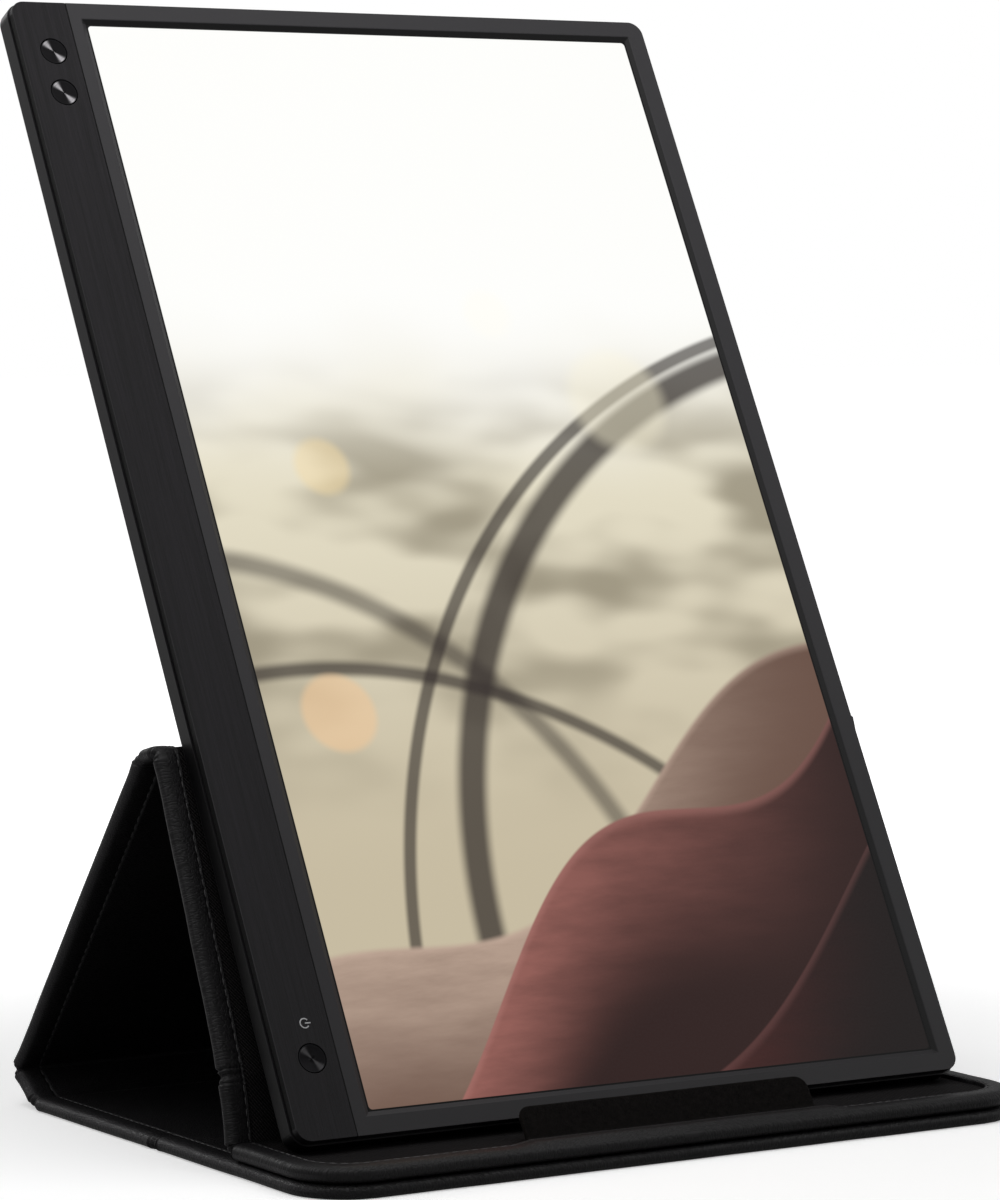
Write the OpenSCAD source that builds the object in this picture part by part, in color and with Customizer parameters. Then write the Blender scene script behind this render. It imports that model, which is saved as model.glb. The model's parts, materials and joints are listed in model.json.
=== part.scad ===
// A portable monitor that stands upright on its own folding cover.
// X runs across the screen, Y from the front edge of the cover to the back, Z up from the table.

/* [Monitor body] */
// Width of the body across the short side
body_w = 226; // [215:1:235]
// Height of the body along the long side
body_h = 359; // [345:1:370]
// Thickness of the body from back to face
body_t = 9; // [8.8:0.1:10.5]
// Angle that the monitor leans back from upright, in degrees
lean = 28.4; // [26.5:0.1:29.5]
// Radius of the body's four corners
corner_r = 5; // [3.5:0.5:6]
// Radius of the rear shell's rounded back edge
back_edge_r = 1.2; // [0.6:0.1:1.4]
// Depth of the rear shell's side wall
shell_h = 6.3; // [6.1:0.1:6.5]
// Wall thickness of the rear shell
shell_wall = 1.4; // [1:0.1:1.8]
// Thickness of the rear shell's back
shell_back = 1.2; // [0.9:0.1:1.4]
// Height of the dark groove between the shell and the face
groove_h = 0.45; // [0.3:0.05:0.6]
// How far the groove is set in from the side
groove_in = 1.1; // [0.8:0.1:1.3]
// How far the face is set in from the side
face_in = 0.5; // [0.3:0.1:0.8]

/* [Screen] */
// Bezel between the picture and the right side of the body
bezel_right = 7.9; // [7:0.1:9]
// Bezel between the picture and each end of the body
bezel_end = 7.4; // [6:0.1:9]
// Depth from the face down to the glass
glass_in = 0.9; // [0.6:0.1:1]
// Width of the sloped edge round the picture
slope_w = 1.6; // [1:0.1:2]
// Thickness of the display glass
glass_t = 1.1; // [0.9:0.1:1.2]
// How far the glass reaches under the frame
glass_lap = 2.4; // [2.1:0.1:2.6]
// Thickness of the optical films together
films_t = 0.7; // [0.5:0.1:0.8]
// Thickness of the light guide
guide_t = 1.2; // [1:0.1:1.3]
// Thickness of the reflector sheet
reflector_t = 0.2; // [0.1:0.05:0.25]
// Sheet thickness of the panel chassis
chassis_t = 0.6; // [0.4:0.05:0.7]

/* [Control strip] */
// Width of the control strip, out to the side of the body
strip_w = 19; // [17:0.5:22]
// Frame that shows between the picture and the strip
strip_seam = 5.6; // [5:0.1:6.5]
// Fine gap between the strip and the frame
seam_gap = 0.12; // [0.08:0.02:0.2]
// Radius of a button cap
button_r = 4.1; // [3.6:0.1:4.4]
// Gap round a button cap
button_gap = 0.25; // [0.15:0.05:0.35]
// Travel of a button
button_travel = 0.5; // [0.3:0.05:0.55]
// Distance from the picture's edge to the button centres
button_side = 13.5; // [12.5:0.1:14]
// Distance from the picture's top to the upper menu button
button_top = 10; // [9.5:0.5:11]
// Distance between the two menu buttons
button_pitch = 14; // [12:0.5:15]
// Distance from the picture's bottom to the power button
power_up = 16.5; // [14:0.5:20]
// Depth of the dished top of a button
dish_depth = 0.15; // [0.05:0.05:0.2]

/* [Cover] */
// How far the cover reaches beyond the monitor at each side
cover_over = 8; // [6:0.5:11]
// Thickness of a panel with its leather, board and lining
panel_t = 3.4; // [3.2:0.1:3.8]
// Thickness of the leather
leather_t = 0.9; // [0.7:0.1:1.1]
// Thickness of the woven lining
lining_t = 0.7; // [0.5:0.1:0.9]
// Width of the leather binding round the lining
binding_w = 7.5; // [6.5:0.5:9]
// How far the binding stands above the lining
binding_rise = 0.5; // [0.3:0.1:0.6]
// How far the base's thicker binding stands above its lining
base_rise = 1.2; // [0.9:0.1:1.4]
// Corner radius of the base and floor panels, seen from above
panel_corner_r = 19; // [14:1:22]
// Gap between the base and the floor panel under it
stack_gap = 0.4; // [0.4:0.1:0.6]
// Radius of the rolled seam at each fold
roll_r = 1.8; // [1.7:0.05:1.9]
// Distance from a fold's line to the edge of each panel
fold_gap = 2.5; // [2.3:0.1:2.7]

/* [Cover panels] */
// Length of the base that the monitor stands on
base_len = 50.4; // [48:0.2:54]
// Length of the narrow strip behind the base
front_strip_len = 21; // [19:0.5:23]
// Slope of the narrow strip behind the base, in degrees from flat
front_strip_slope = 77.5; // [74:0.5:80]
// Length of the front leg
front_leg_len = 93.8; // [88:0.2:97]
// Slope of the front leg, in degrees from flat
front_leg_slope = 66.4; // [65:0.2:68]
// Width of the ridge strip between the legs
ridge_len = 10; // [9:0.5:12]
// Slope of the ridge strip, in degrees from flat
ridge_slope = 12.8; // [8:0.2:16]
// Length of the rear leg
rear_leg_len = 127.2; // [122:0.2:132]
// Length of the narrow strip at the rear corner
rear_strip_len = 15.1; // [13:0.1:17]
// Slope of the narrow strip at the rear corner, in degrees from flat
rear_strip_slope = 33.4; // [28:0.2:38]
// Length of the floor panel under the base
floor_front_len = 94; // [88:1:98]

/* [Tab and magnets] */
// Width of the felt tab in front of the monitor
tab_w = 98; // [80:1:110]
// Length of the felt tab from its foot to its upper edge
tab_len = 10.2; // [8:0.2:12]
// Angle at which the felt tab stands up from the base, in degrees
tab_slope = 55; // [35:1:80]
// Thickness of the felt
felt_t = 1.2; // [0.9:0.1:1.4]
// Radius of the tab's two upper corners
tab_corner_r = 4; // [3:0.5:6]
// Radius of a hidden magnet
magnet_r = 5; // [4:0.5:6]
// Distance of the magnets from the middle
magnet_side = 80; // [70:1:90]

/* [Hidden] */
$fn = 48;

// Small clearances, and how far a cut runs past what it cuts
seat_gap = 0.1;
fit_gap = 0.2;
lean_gap = 0.4;
eps = 0.01;
past = 5;

// Sizes that follow from the body
screen_w = body_w - bezel_right - strip_seam - strip_w;
screen_h = body_h - 2 * bezel_end;
cover_w = body_w + 2 * cover_over;

// The side view of the folded cover: the fold lines, as [y, z], and the direction of each panel
floor_mid = panel_t / 2 + binding_rise;
base_mid = floor_mid + panel_t + stack_gap;
base_top = base_mid + panel_t / 2;
function step_on(from, length, angle) = [from[0] + length * cos(angle), from[1] + length * sin(angle)];
front_strip_turn = 180 + front_strip_slope;
front_leg_turn = 180 + front_leg_slope;
ridge_turn = 180 - ridge_slope;
fold_front_low = [base_len, base_mid];
fold_front_high = step_on(fold_front_low, front_strip_len, front_strip_slope);
fold_ridge_front = step_on(fold_front_high, front_leg_len, front_leg_slope);
fold_ridge_rear = step_on(fold_ridge_front, ridge_len, -ridge_slope);
rear_foot_z = floor_mid + rear_strip_len * sin(rear_strip_slope);
rear_leg_slope = asin((fold_ridge_rear[1] - rear_foot_z) / rear_leg_len);
rear_leg_turn = 180 - rear_leg_slope;
fold_rear_high = step_on(fold_ridge_rear, rear_leg_len, -rear_leg_slope);
fold_rear_low = step_on(fold_rear_high, rear_strip_len, 180 + rear_strip_slope);
fold_floor = [floor_front_len, floor_mid];
floor_rear_len = fold_rear_low[0] - fold_floor[0];

// Where the monitor stands: its back rests against the ridge and its lower rear edge on the base
ridge_reach = roll_r + lean_gap;
stand_z = base_top + seat_gap + back_edge_r * (1 - cos(lean) - sin(lean));
stand_y = fold_ridge_front[0] - (ridge_reach + (fold_ridge_front[1] - stand_z) * sin(lean)) / cos(lean);

// The whole object is centred in depth on the origin
body_back_y = stand_y + (body_h - back_edge_r) * sin(lean) + back_edge_r * (1 - cos(lean));
cover_back_y = fold_rear_high[0] + panel_t;
middle_y = max(body_back_y, cover_back_y) / 2;

// Heights in the monitor's thickness, from its back
face_z = shell_h + groove_h;
glass_top = body_t - glass_in;
glass_z = glass_top - glass_t;
films_z = glass_z - films_t;
guide_z = films_z - guide_t;
reflector_z = guide_z - reflector_t;
chassis_z = reflector_z - chassis_t;
board_t = 1;
board_z = 3.6;
board_top = board_z + board_t;

// Places across the monitor's face
side_x = body_w / 2;
screen_right = side_x - bezel_right;
screen_left = screen_right - screen_w;
screen_low = bezel_end;
screen_high = body_h - bezel_end;
seam_x = screen_left - strip_seam;
button_x = screen_left - button_side;
menu_y = screen_high - button_top;
power_y = screen_low + power_up;

// Pieces behind the face
board_side_gap = 1.1;
board_end_gap = 1.3;
board_space = 15;
chassis_margin = glass_lap + 0.8;
chassis_wall = 0.6;
board_left = -side_x + shell_wall + board_side_gap;
board_right = seam_x - 0.6;
main_board_low = screen_low + screen_h / 2;
main_board_high = body_h - shell_wall - board_end_gap;
driver_low = screen_low + screen_h / 4;
driver_high = main_board_low - board_space;
power_board_half = 13;
boss_r = 2;
screw_r = 0.7;
screw_head_r = 1.5;
screw_head_t = 0.5;
screw_reach = 1.6;
screw_hole_up = 0.5;
thread_gap = 0.02;
switch_w = 5;
switch_t = 0.8;
plunger_r = 1.1;
plunger_gap = 0.05;
flange_r = button_r + 0.9;
flange_t = 0.5;
flange_gap = 0.08;
ribbon_t = 0.15;
usb_w = 8.9;
usb_t = 3.2;
usb_depth = 8;
usb_wall = 0.35;
usb_back = 1;
usb_in = 0.3;
usb_tongue_t = 0.7;
usb_tongue_side = 1.6;
usb_tongue_in = 1.8;
usb_mid = board_z + board_t / 2;

// Screw places on the boards
boss_in = 2.6;
boss_points = [
    [board_left + boss_in, main_board_low + boss_in],
    [board_right - boss_in, main_board_low + screen_h / 5],
    [board_left + boss_in, menu_y - 2 * button_pitch],
    [board_left + boss_in, driver_low + boss_in],
    [board_right - boss_in, driver_high - boss_in],
    [board_left + boss_in, power_y - power_board_half + boss_in],
    [board_right - boss_in, power_y + power_board_half - boss_in]];
button_points = [[button_x, menu_y], [button_x, menu_y - button_pitch], [button_x, power_y]];

// Puts a shape drawn on the monitor's back plane, foot at the origin, into its place
module on_monitor() {
    translate([0, stand_y - middle_y, stand_z])
    rotate([90 - lean, 0, 0])
    children();
}

// Puts a panel drawn along +Y from its fold line, leather on top, into its place
module at_fold(fold, turn) {
    translate([0, fold[0] - middle_y, fold[1]])
    rotate([turn, 0, 0])
    children();
}

// ---------- Monitor ----------

// A rounded rectangle standing on Y = 0 and centred on X
module body_outline(inset) {
    r = corner_r - inset;
    translate([-side_x + inset + r, inset])
    square([body_w - 2 * inset - 2 * r, body_h - 2 * inset]);
    translate([-side_x + inset, inset + r])
    square([body_w - 2 * inset, body_h - 2 * inset - 2 * r]);
    for (x = [-1, 1], y = [0, 1])
        translate([x * (side_x - inset - r), y ? body_h - inset - r : inset + r])
        circle(r);
}

// A box from one corner to the other
module block(low, high) {
    translate(low)
    cube(high - low);
}

// The shell's solid with its back edge rounded all the way round
module shell_blank() {
    translate([0, 0, back_edge_r])
    linear_extrude(shell_h - back_edge_r) body_outline(0);
    linear_extrude(back_edge_r + eps) body_outline(back_edge_r);
    for (x = [-1, 1])
        translate([x * (side_x - back_edge_r), corner_r, back_edge_r])
        rotate([-90, 0, 0])
        cylinder(r = back_edge_r, h = body_h - 2 * corner_r);
    for (y = [back_edge_r, body_h - back_edge_r])
        translate([-side_x + corner_r, y, back_edge_r])
        rotate([0, 90, 0])
        cylinder(r = back_edge_r, h = body_w - 2 * corner_r);
    for (x = [-1, 1], y = [corner_r, body_h - corner_r])
        translate([x * (side_x - corner_r), y, back_edge_r])
        rotate_extrude()
        translate([corner_r - back_edge_r, 0])
        circle(back_edge_r);
}

rib_count = 6;
rib_t = 1;
rib_in = 20;
rib_low = screen_low + rib_in;
rib_high = screen_high - rib_in;

// Ribs inside the shell that carry the display's chassis
module shell_ribs() {
    for (i = [0 : rib_count - 1])
        translate([screen_left, rib_low + i * (rib_high - rib_low) / (rib_count - 1), shell_back - eps])
        cube([screen_w, rib_t, chassis_z - shell_back - seat_gap]);
    for (x = [screen_left + screen_w / 4, screen_right - screen_w / 4])
        translate([x, rib_low, shell_back - eps])
        cube([rib_t, rib_high - rib_low, chassis_z - shell_back - seat_gap]);
}

module shell_bosses() {
    for (p = boss_points)
        translate([p[0], p[1], shell_back - eps])
        cylinder(r = boss_r, h = board_z - shell_back + eps);
}

module usb_slot(grow) {
    half = usb_t / 2 + grow;
    translate([button_x, body_h - usb_depth, usb_mid])
    rotate([-90, 0, 0]) {
        for (x = [-1, 1])
            translate([x * (usb_w / 2 - usb_t / 2), 0, 0])
            cylinder(r = half, h = usb_depth * 2);
        translate([-(usb_w - usb_t) / 2, -half, 0])
        cube([usb_w - usb_t, 2 * half, usb_depth * 2]);
    }
}

module rear_shell() {
    color("#232226")
    on_monitor()
    difference() {
        union() {
            difference() {
                shell_blank();
                translate([0, 0, shell_back])
                linear_extrude(shell_h) body_outline(shell_wall);
            }
            shell_tongue();
            shell_ribs();
            shell_bosses();
        }
        usb_slot(fit_gap);
        for (p = boss_points)
            translate([p[0], p[1], shell_back + screw_hole_up])
            cylinder(r = screw_r, h = board_z);
    }
}

// The narrow lip that shows as a dark groove below the face
module shell_tongue() {
    translate([0, 0, shell_h - eps])
    linear_extrude(groove_h + eps)
    difference() {
        body_outline(groove_in);
        body_outline(groove_in + 0.8);
    }
}

// The picture's opening, with edges that slope down to the glass
module screen_window() {
    deep = glass_in + past;
    flare = slope_w * deep / glass_in;
    intersection() {
        translate([0, screen_low - flare - past, 0])
        rotate([-90, 0, 0])
        linear_extrude(screen_h + 2 * flare + 2 * past)
        polygon([[screen_left, -glass_top], [screen_right, -glass_top],
            [screen_right + flare, -glass_top - deep], [screen_left - flare, -glass_top - deep]]);
        translate([screen_left - flare - past, 0, 0])
        rotate([90, 0, 90])
        linear_extrude(screen_w + 2 * flare + 2 * past)
        polygon([[screen_low, glass_top], [screen_high, glass_top],
            [screen_high + flare, glass_top + deep], [screen_low - flare, glass_top + deep]]);
    }
    block([screen_left, screen_low, 0], [screen_right, screen_high, glass_top + eps]);
}

module front_frame() {
    color("#2f2e32")
    on_monitor()
    difference() {
        translate([0, 0, face_z])
        linear_extrude(body_t - face_z) body_outline(face_in);
        block([-body_w, -past, 0], [seam_x, body_h + past, body_t + past]);
        screen_window();
        block([screen_left - glass_lap - fit_gap, screen_low - glass_lap - fit_gap, 0],
            [screen_right + glass_lap + fit_gap, screen_high + glass_lap + fit_gap, glass_top]);
        block([screen_left - chassis_margin - fit_gap, screen_low - chassis_margin - fit_gap, 0],
            [screen_right + chassis_margin + fit_gap, screen_high + chassis_margin + fit_gap,
                glass_z + fit_gap]);
    }
}

module control_strip() {
    color("#1d1c1f")
    on_monitor()
    difference() {
        translate([0, 0, face_z])
        linear_extrude(body_t - face_z) body_outline(face_in);
        block([seam_x - seam_gap, -past, 0], [body_w, body_h + past, body_t + past]);
        for (p = button_points)
            translate([p[0], p[1], 0])
            cylinder(r = button_r + button_gap, h = body_t + past);
    }
}

module screen_glass() {
    color("#e8e2d6")
    on_monitor()
    block([screen_left - glass_lap, screen_low - glass_lap, glass_z],
        [screen_right + glass_lap, screen_high + glass_lap, glass_top]);
}

// One sheet of the display's stack, inside the chassis walls
module stack_sheet(low, high, left_in) {
    edge = chassis_margin - chassis_wall - fit_gap;
    block([screen_left - edge + left_in, screen_low - edge, low],
        [screen_right + edge, screen_high + edge, high]);
}

led_bar_w = 1;

module optical_films() {
    color("#f2f2f0")
    on_monitor()
    stack_sheet(films_z, glass_z, 0);
}

module light_guide() {
    color("#dfe9ee")
    on_monitor()
    stack_sheet(guide_z, films_z, led_bar_w + fit_gap);
}

module reflector_sheet() {
    color("white")
    on_monitor()
    stack_sheet(reflector_z, guide_z, 0);
}

led_count = 24;
led_len = 4;
led_in = 0.2;

// The lamp strip along the light guide's long edge, with its row of lamps
module led_bar() {
    edge = chassis_margin - chassis_wall - fit_gap;
    pitch = screen_h / led_count;
    color("#e9e3c0")
    on_monitor() {
        block([screen_left - edge, screen_low, guide_z],
            [screen_left - edge + led_bar_w / 2, screen_high, guide_z + guide_t]);
        for (i = [0 : led_count - 1])
            translate([screen_left - edge + led_bar_w / 2, screen_low + (i + 0.5) * pitch - led_len / 2,
                guide_z + led_in])
            cube([led_bar_w / 2, led_len, guide_t - 2 * led_in]);
    }
}

module panel_chassis() {
    m = chassis_margin;
    color("#9a9da1")
    on_monitor()
    difference() {
        block([screen_left - m, screen_low - m, chassis_z],
            [screen_right + m, screen_high + m, glass_z]);
        block([screen_left - m + chassis_wall, screen_low - m + chassis_wall, reflector_z],
            [screen_right + m - chassis_wall, screen_high + m - chassis_wall, body_t]);
    }
}

// A board between two heights, with its screw holes
module board(low_y, high_y) {
    difference() {
        block([board_left, low_y, board_z], [board_right, high_y, board_top]);
        for (p = boss_points)
            translate([p[0], p[1], 0])
            cylinder(r = screw_r, h = body_t);
    }
}

module main_board() {
    color("#1f5a3a")
    on_monitor()
    difference() {
        board(main_board_low, main_board_high);
        usb_notch();
    }
}

module usb_notch() {
    block([button_x - usb_w / 2 - seat_gap, body_h - shell_wall - usb_depth + usb_back - fit_gap, 0],
        [button_x + usb_w / 2 + seat_gap, body_h, body_t]);
}

module driver_board() {
    color("#1f5a3a")
    on_monitor()
    board(driver_low, driver_high);
}

module power_board() {
    color("#1f5a3a")
    on_monitor()
    board(power_y - power_board_half, power_y + power_board_half);
}

shield_w = 11;
shield_len = 48;
shield_t = 1.3;
shield_wall = 0.3;
shield_up = 6;

// A pressed cover over the main chips, with its folded walls
module shield_can() {
    mid = (board_left + board_right) / 2;
    low = main_board_low + screen_h / 5 + shield_up;
    color("#b9bcc0")
    on_monitor()
    difference() {
        block([mid - shield_w / 2, low, board_top], [mid + shield_w / 2, low + shield_len,
            board_top + shield_t]);
        block([mid - shield_w / 2 + shield_wall, low + shield_wall, 0],
            [mid + shield_w / 2 - shield_wall, low + shield_len - shield_wall,
                board_top + shield_t - shield_wall]);
    }
}

// The three push switches under the buttons
module key_switches() {
    plunger_top = face_z - flange_gap - flange_t - button_travel - plunger_gap;
    color("#3b3d40")
    on_monitor()
    for (p = button_points) {
        translate([p[0] - switch_w / 2, p[1] - switch_w / 2, board_top])
        cube([switch_w, switch_w, switch_t]);
        translate([p[0], p[1], board_top])
        cylinder(r = plunger_r, h = plunger_top - board_top);
    }
}

module usb_socket() {
    deep = body_h - shell_wall - usb_depth + usb_back;
    color("#a7a9ad")
    on_monitor() {
        difference() {
            usb_tube(0, deep, body_h - usb_in);
            usb_tube(-usb_wall, deep + usb_back, body_h + past);
        }
        block([button_x - usb_w / 2 + usb_tongue_side, deep + usb_back - eps, usb_mid - usb_tongue_t / 2],
            [button_x + usb_w / 2 - usb_tongue_side, body_h - usb_tongue_in, usb_mid + usb_tongue_t / 2]);
    }
}

// The flat oval tube of the socket
module usb_tube(grow, low_y, high_y) {
    half = usb_t / 2 + grow;
    translate([button_x, low_y, usb_mid])
    rotate([-90, 0, 0]) {
        for (x = [-1, 1])
            translate([x * (usb_w - usb_t) / 2, 0, 0])
            cylinder(r = half, h = high_y - low_y);
        translate([-(usb_w - usb_t) / 2, -half, 0])
        cube([usb_w - usb_t, 2 * half, high_y - low_y]);
    }
}

module board_screws() {
    color("#c9cbd0")
    on_monitor()
    for (p = boss_points)
        translate([p[0], p[1], 0]) {
            translate([0, 0, board_top])
            cylinder(r = screw_head_r, h = screw_head_t);
            translate([0, 0, board_z - screw_reach])
            cylinder(r = screw_r - thread_gap, h = board_t + screw_reach + eps);
        }
}

ribbon_w = 5;
ribbon_lap = 4;
ribbon_in = 0.8;
panel_ribbon_w = 30;

module driver_ribbon() {
    color("#c98a2b")
    on_monitor()
    block([board_right - ribbon_w - 1, driver_high - ribbon_in, board_top],
        [board_right - 1, main_board_low + ribbon_lap, board_top + ribbon_t]);
}

module power_ribbon() {
    color("#c98a2b")
    on_monitor()
    block([button_x - ribbon_w / 2, power_y + switch_w, board_top],
        [button_x + ribbon_w / 2, driver_low + ribbon_lap, board_top + ribbon_t]);
}

module panel_ribbon() {
    mid = (driver_low + driver_high) / 2;
    color("#c98a2b")
    on_monitor()
    block([board_right - ribbon_w, mid - panel_ribbon_w / 2, board_z - ribbon_t],
        [screen_left + ribbon_w, mid + panel_ribbon_w / 2, board_z]);
}

// A button: a dished cap with a flange that holds it under the strip
module button(p) {
    top = body_t - 0.1;
    dish_r = (button_r * button_r / dish_depth + dish_depth) / 2;
    color("#3a393d")
    on_monitor()
    translate([p[0], p[1], 0])
    difference() {
        union() {
            translate([0, 0, face_z - flange_gap - flange_t])
            cylinder(r = flange_r, h = flange_t);
            translate([0, 0, face_z - flange_gap - flange_t])
            cylinder(r = button_r, h = top - face_z + flange_gap + flange_t);
        }
        translate([0, 0, top + dish_r - dish_depth])
        sphere(dish_r, $fn = 96);
    }
}

module menu_button_upper() {
    button(button_points[0]);
}

module menu_button_lower() {
    button(button_points[1]);
}

module power_button() {
    button(button_points[2]);
}

// ---------- Cover ----------

// Outline of a panel from its fold to its far end, set in from the sides;
// tip_r rounds the two far corners, and 0 leaves them square
module panel_outline(length, inset, tip_r) {
    half = cover_w / 2 - inset;
    r = max(tip_r - inset, eps);
    end = tip_r > 0 ? length - inset : length;
    if (tip_r > 0) {
        translate([-half, fold_gap])
        square([2 * half, end - r - fold_gap]);
        translate([-half + r, end - r - eps])
        square([2 * (half - r), r + eps]);
        for (x = [-1, 1])
            translate([x * (half - r), end - r])
            circle(r);
    }
    else {
        translate([-half, fold_gap])
        square([2 * half, end - 2 * fold_gap]);
    }
}

// Cross-section of the binding, from its inner edge at 0 to its rounded outer edge
module binding_section(rise) {
    thick = panel_t + rise;
    translate([0, -panel_t / 2 - rise])
    square([binding_w - thick / 2, thick]);
    translate([binding_w - thick / 2, -rise / 2])
    circle(thick / 2);
}

// The leather: a thin sheet on the outside, wrapped round the ends as a thick binding
module leather(length, tip_r, rise) {
    end = tip_r > 0 ? length - tip_r : length - fold_gap;
    translate([0, 0, panel_t / 2 - leather_t])
    linear_extrude(leather_t) panel_outline(length, binding_w - eps, tip_r);
    for (side = [0, 1])
        mirror([side, 0, 0])
        translate([cover_w / 2 - binding_w, end, 0])
        rotate([90, 0, 0])
        linear_extrude(end - fold_gap) binding_section(rise);
    if (tip_r > 0) {
        translate([-cover_w / 2 + tip_r, length - binding_w, 0])
        rotate([90, 0, 90])
        linear_extrude(cover_w - 2 * tip_r) binding_section(rise);
        for (side = [0, 1])
            mirror([side, 0, 0])
            translate([cover_w / 2 - tip_r, length - tip_r, 0])
            rotate_extrude(angle = 90)
            translate([tip_r - binding_w, 0])
            binding_section(rise);
    }
}

module board_sheet(length, tip_r) {
    translate([0, 0, -panel_t / 2 + lining_t])
    linear_extrude(panel_t - leather_t - lining_t) panel_outline(length, binding_w, tip_r);
}

module lining_sheet(length, tip_r) {
    translate([0, 0, -panel_t / 2])
    linear_extrude(lining_t) panel_outline(length, binding_w, tip_r);
}

// A rolled seam along a fold line, with round ends
module seam(fold) {
    half = cover_w / 2 - roll_r;
    color("#19181b")
    translate([0, fold[0] - middle_y, fold[1]]) {
        translate([-half, 0, 0])
        rotate([0, 90, 0])
        cylinder(r = roll_r, h = 2 * half);
        for (x = [-1, 1])
            translate([x * half, 0, 0])
            sphere(roll_r);
    }
}

// Places each panel on its first fold line
module on_base() {
    at_fold(fold_front_low, 180) children();
}

module on_front_strip() {
    at_fold(fold_front_high, front_strip_turn) children();
}

module on_front_leg() {
    at_fold(fold_ridge_front, front_leg_turn) children();
}

module on_ridge() {
    at_fold(fold_ridge_rear, ridge_turn) children();
}

module on_rear_leg() {
    at_fold(fold_rear_high, rear_leg_turn) children();
}

module on_rear_strip() {
    at_fold(fold_rear_low, rear_strip_slope) children();
}

module on_floor_rear() {
    at_fold(fold_floor, 0) children();
}

module on_floor_front() {
    at_fold(fold_floor, 0) mirror([0, 1, 0]) children();
}

module magnet_holes() {
    for (x = [-1, 1])
        translate([x * magnet_side, base_len / 2, -panel_t])
        cylinder(r = magnet_r + seat_gap, h = 2 * panel_t);
}

module magnets() {
    for (x = [-1, 1])
        translate([x * magnet_side, base_len / 2, -panel_t / 2 + lining_t])
        cylinder(r = magnet_r, h = panel_t - leather_t - lining_t);
}

module base_leather() {
    color("#1b1a1d")
    on_base() leather(base_len, panel_corner_r, base_rise);
}

module base_board() {
    color("#6b5a45")
    on_base()
    difference() {
        board_sheet(base_len, panel_corner_r);
        magnet_holes();
    }
}

module base_lining() {
    color("#141316")
    on_base() lining_sheet(base_len, panel_corner_r);
}

module base_magnets() {
    color("#9da0a5")
    on_base() magnets();
}

module front_strip_leather() {
    color("#1b1a1d")
    on_front_strip() leather(front_strip_len, 0, binding_rise);
}

module front_strip_board() {
    color("#6b5a45")
    on_front_strip() board_sheet(front_strip_len, 0);
}

module front_strip_lining() {
    color("#141316")
    on_front_strip() lining_sheet(front_strip_len, 0);
}

module front_leg_leather() {
    color("#1b1a1d")
    on_front_leg() leather(front_leg_len, 0, binding_rise);
}

module front_leg_board() {
    color("#6b5a45")
    on_front_leg() board_sheet(front_leg_len, 0);
}

module front_leg_lining() {
    color("#141316")
    on_front_leg() lining_sheet(front_leg_len, 0);
}

module ridge_leather() {
    color("#1b1a1d")
    on_ridge() leather(ridge_len, 0, binding_rise);
}

module ridge_board() {
    color("#6b5a45")
    on_ridge() board_sheet(ridge_len, 0);
}

module ridge_lining() {
    color("#141316")
    on_ridge() lining_sheet(ridge_len, 0);
}

module rear_leg_leather() {
    color("#1b1a1d")
    on_rear_leg() leather(rear_leg_len, 0, binding_rise);
}

module rear_leg_board() {
    color("#6b5a45")
    on_rear_leg() board_sheet(rear_leg_len, 0);
}

module rear_leg_lining() {
    color("#141316")
    on_rear_leg() lining_sheet(rear_leg_len, 0);
}

module rear_strip_leather() {
    color("#1b1a1d")
    on_rear_strip() leather(rear_strip_len, 0, binding_rise);
}

module rear_strip_board() {
    color("#6b5a45")
    on_rear_strip() board_sheet(rear_strip_len, 0);
}

module rear_strip_lining() {
    color("#141316")
    on_rear_strip() lining_sheet(rear_strip_len, 0);
}

module floor_rear_leather() {
    color("#1b1a1d")
    on_floor_rear() leather(floor_rear_len, 0, binding_rise);
}

module floor_rear_board() {
    color("#6b5a45")
    on_floor_rear() board_sheet(floor_rear_len, 0);
}

module floor_rear_lining() {
    color("#141316")
    on_floor_rear() lining_sheet(floor_rear_len, 0);
}

module floor_front_leather() {
    color("#1b1a1d")
    on_floor_front() leather(floor_front_len, panel_corner_r, binding_rise);
}

module floor_front_board() {
    color("#6b5a45")
    on_floor_front()
    difference() {
        board_sheet(floor_front_len, panel_corner_r);
        translate([0, floor_front_len - base_len, 0])
        magnet_holes();
    }
}

module floor_front_lining() {
    color("#141316")
    on_floor_front() lining_sheet(floor_front_len, panel_corner_r);
}

module floor_magnets() {
    color("#9da0a5")
    on_floor_front()
    translate([0, floor_front_len - base_len, 0])
    magnets();
}

module floor_seam() {
    seam(fold_floor);
}

module rear_seam_lower() {
    seam(fold_rear_low);
}

module rear_seam_upper() {
    seam(fold_rear_high);
}

module ridge_seam_rear() {
    seam(fold_ridge_rear);
}

module ridge_seam_front() {
    seam(fold_ridge_front);
}

module front_seam_upper() {
    seam(fold_front_high);
}

module front_seam_lower() {
    seam(fold_front_low);
}

// The felt tab is sewn to the base behind its front binding and stands up before the monitor's foot
tab_in = 3.4;
tab_lift = 0.3;
tab_root = [binding_w + tab_in, base_top + felt_t / 2 + tab_lift];

module felt_tab() {
    half = tab_w / 2;
    r = tab_corner_r;
    color("#1d1817")
    translate([0, tab_root[0] - middle_y, tab_root[1]])
    rotate([tab_slope, 0, 0]) {
        translate([-half, 0, 0])
        rotate([0, 90, 0])
        cylinder(r = felt_t / 2, h = tab_w);
        translate([0, 0, -felt_t / 2])
        linear_extrude(felt_t) {
            translate([-half, 0])
            square([tab_w, tab_len - r]);
            translate([-half + r, tab_len - r - eps])
            square([tab_w - 2 * r, r + eps]);
            for (x = [-1, 1])
                translate([x * (half - r), tab_len - r])
                circle(r);
        }
    }
}

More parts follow.
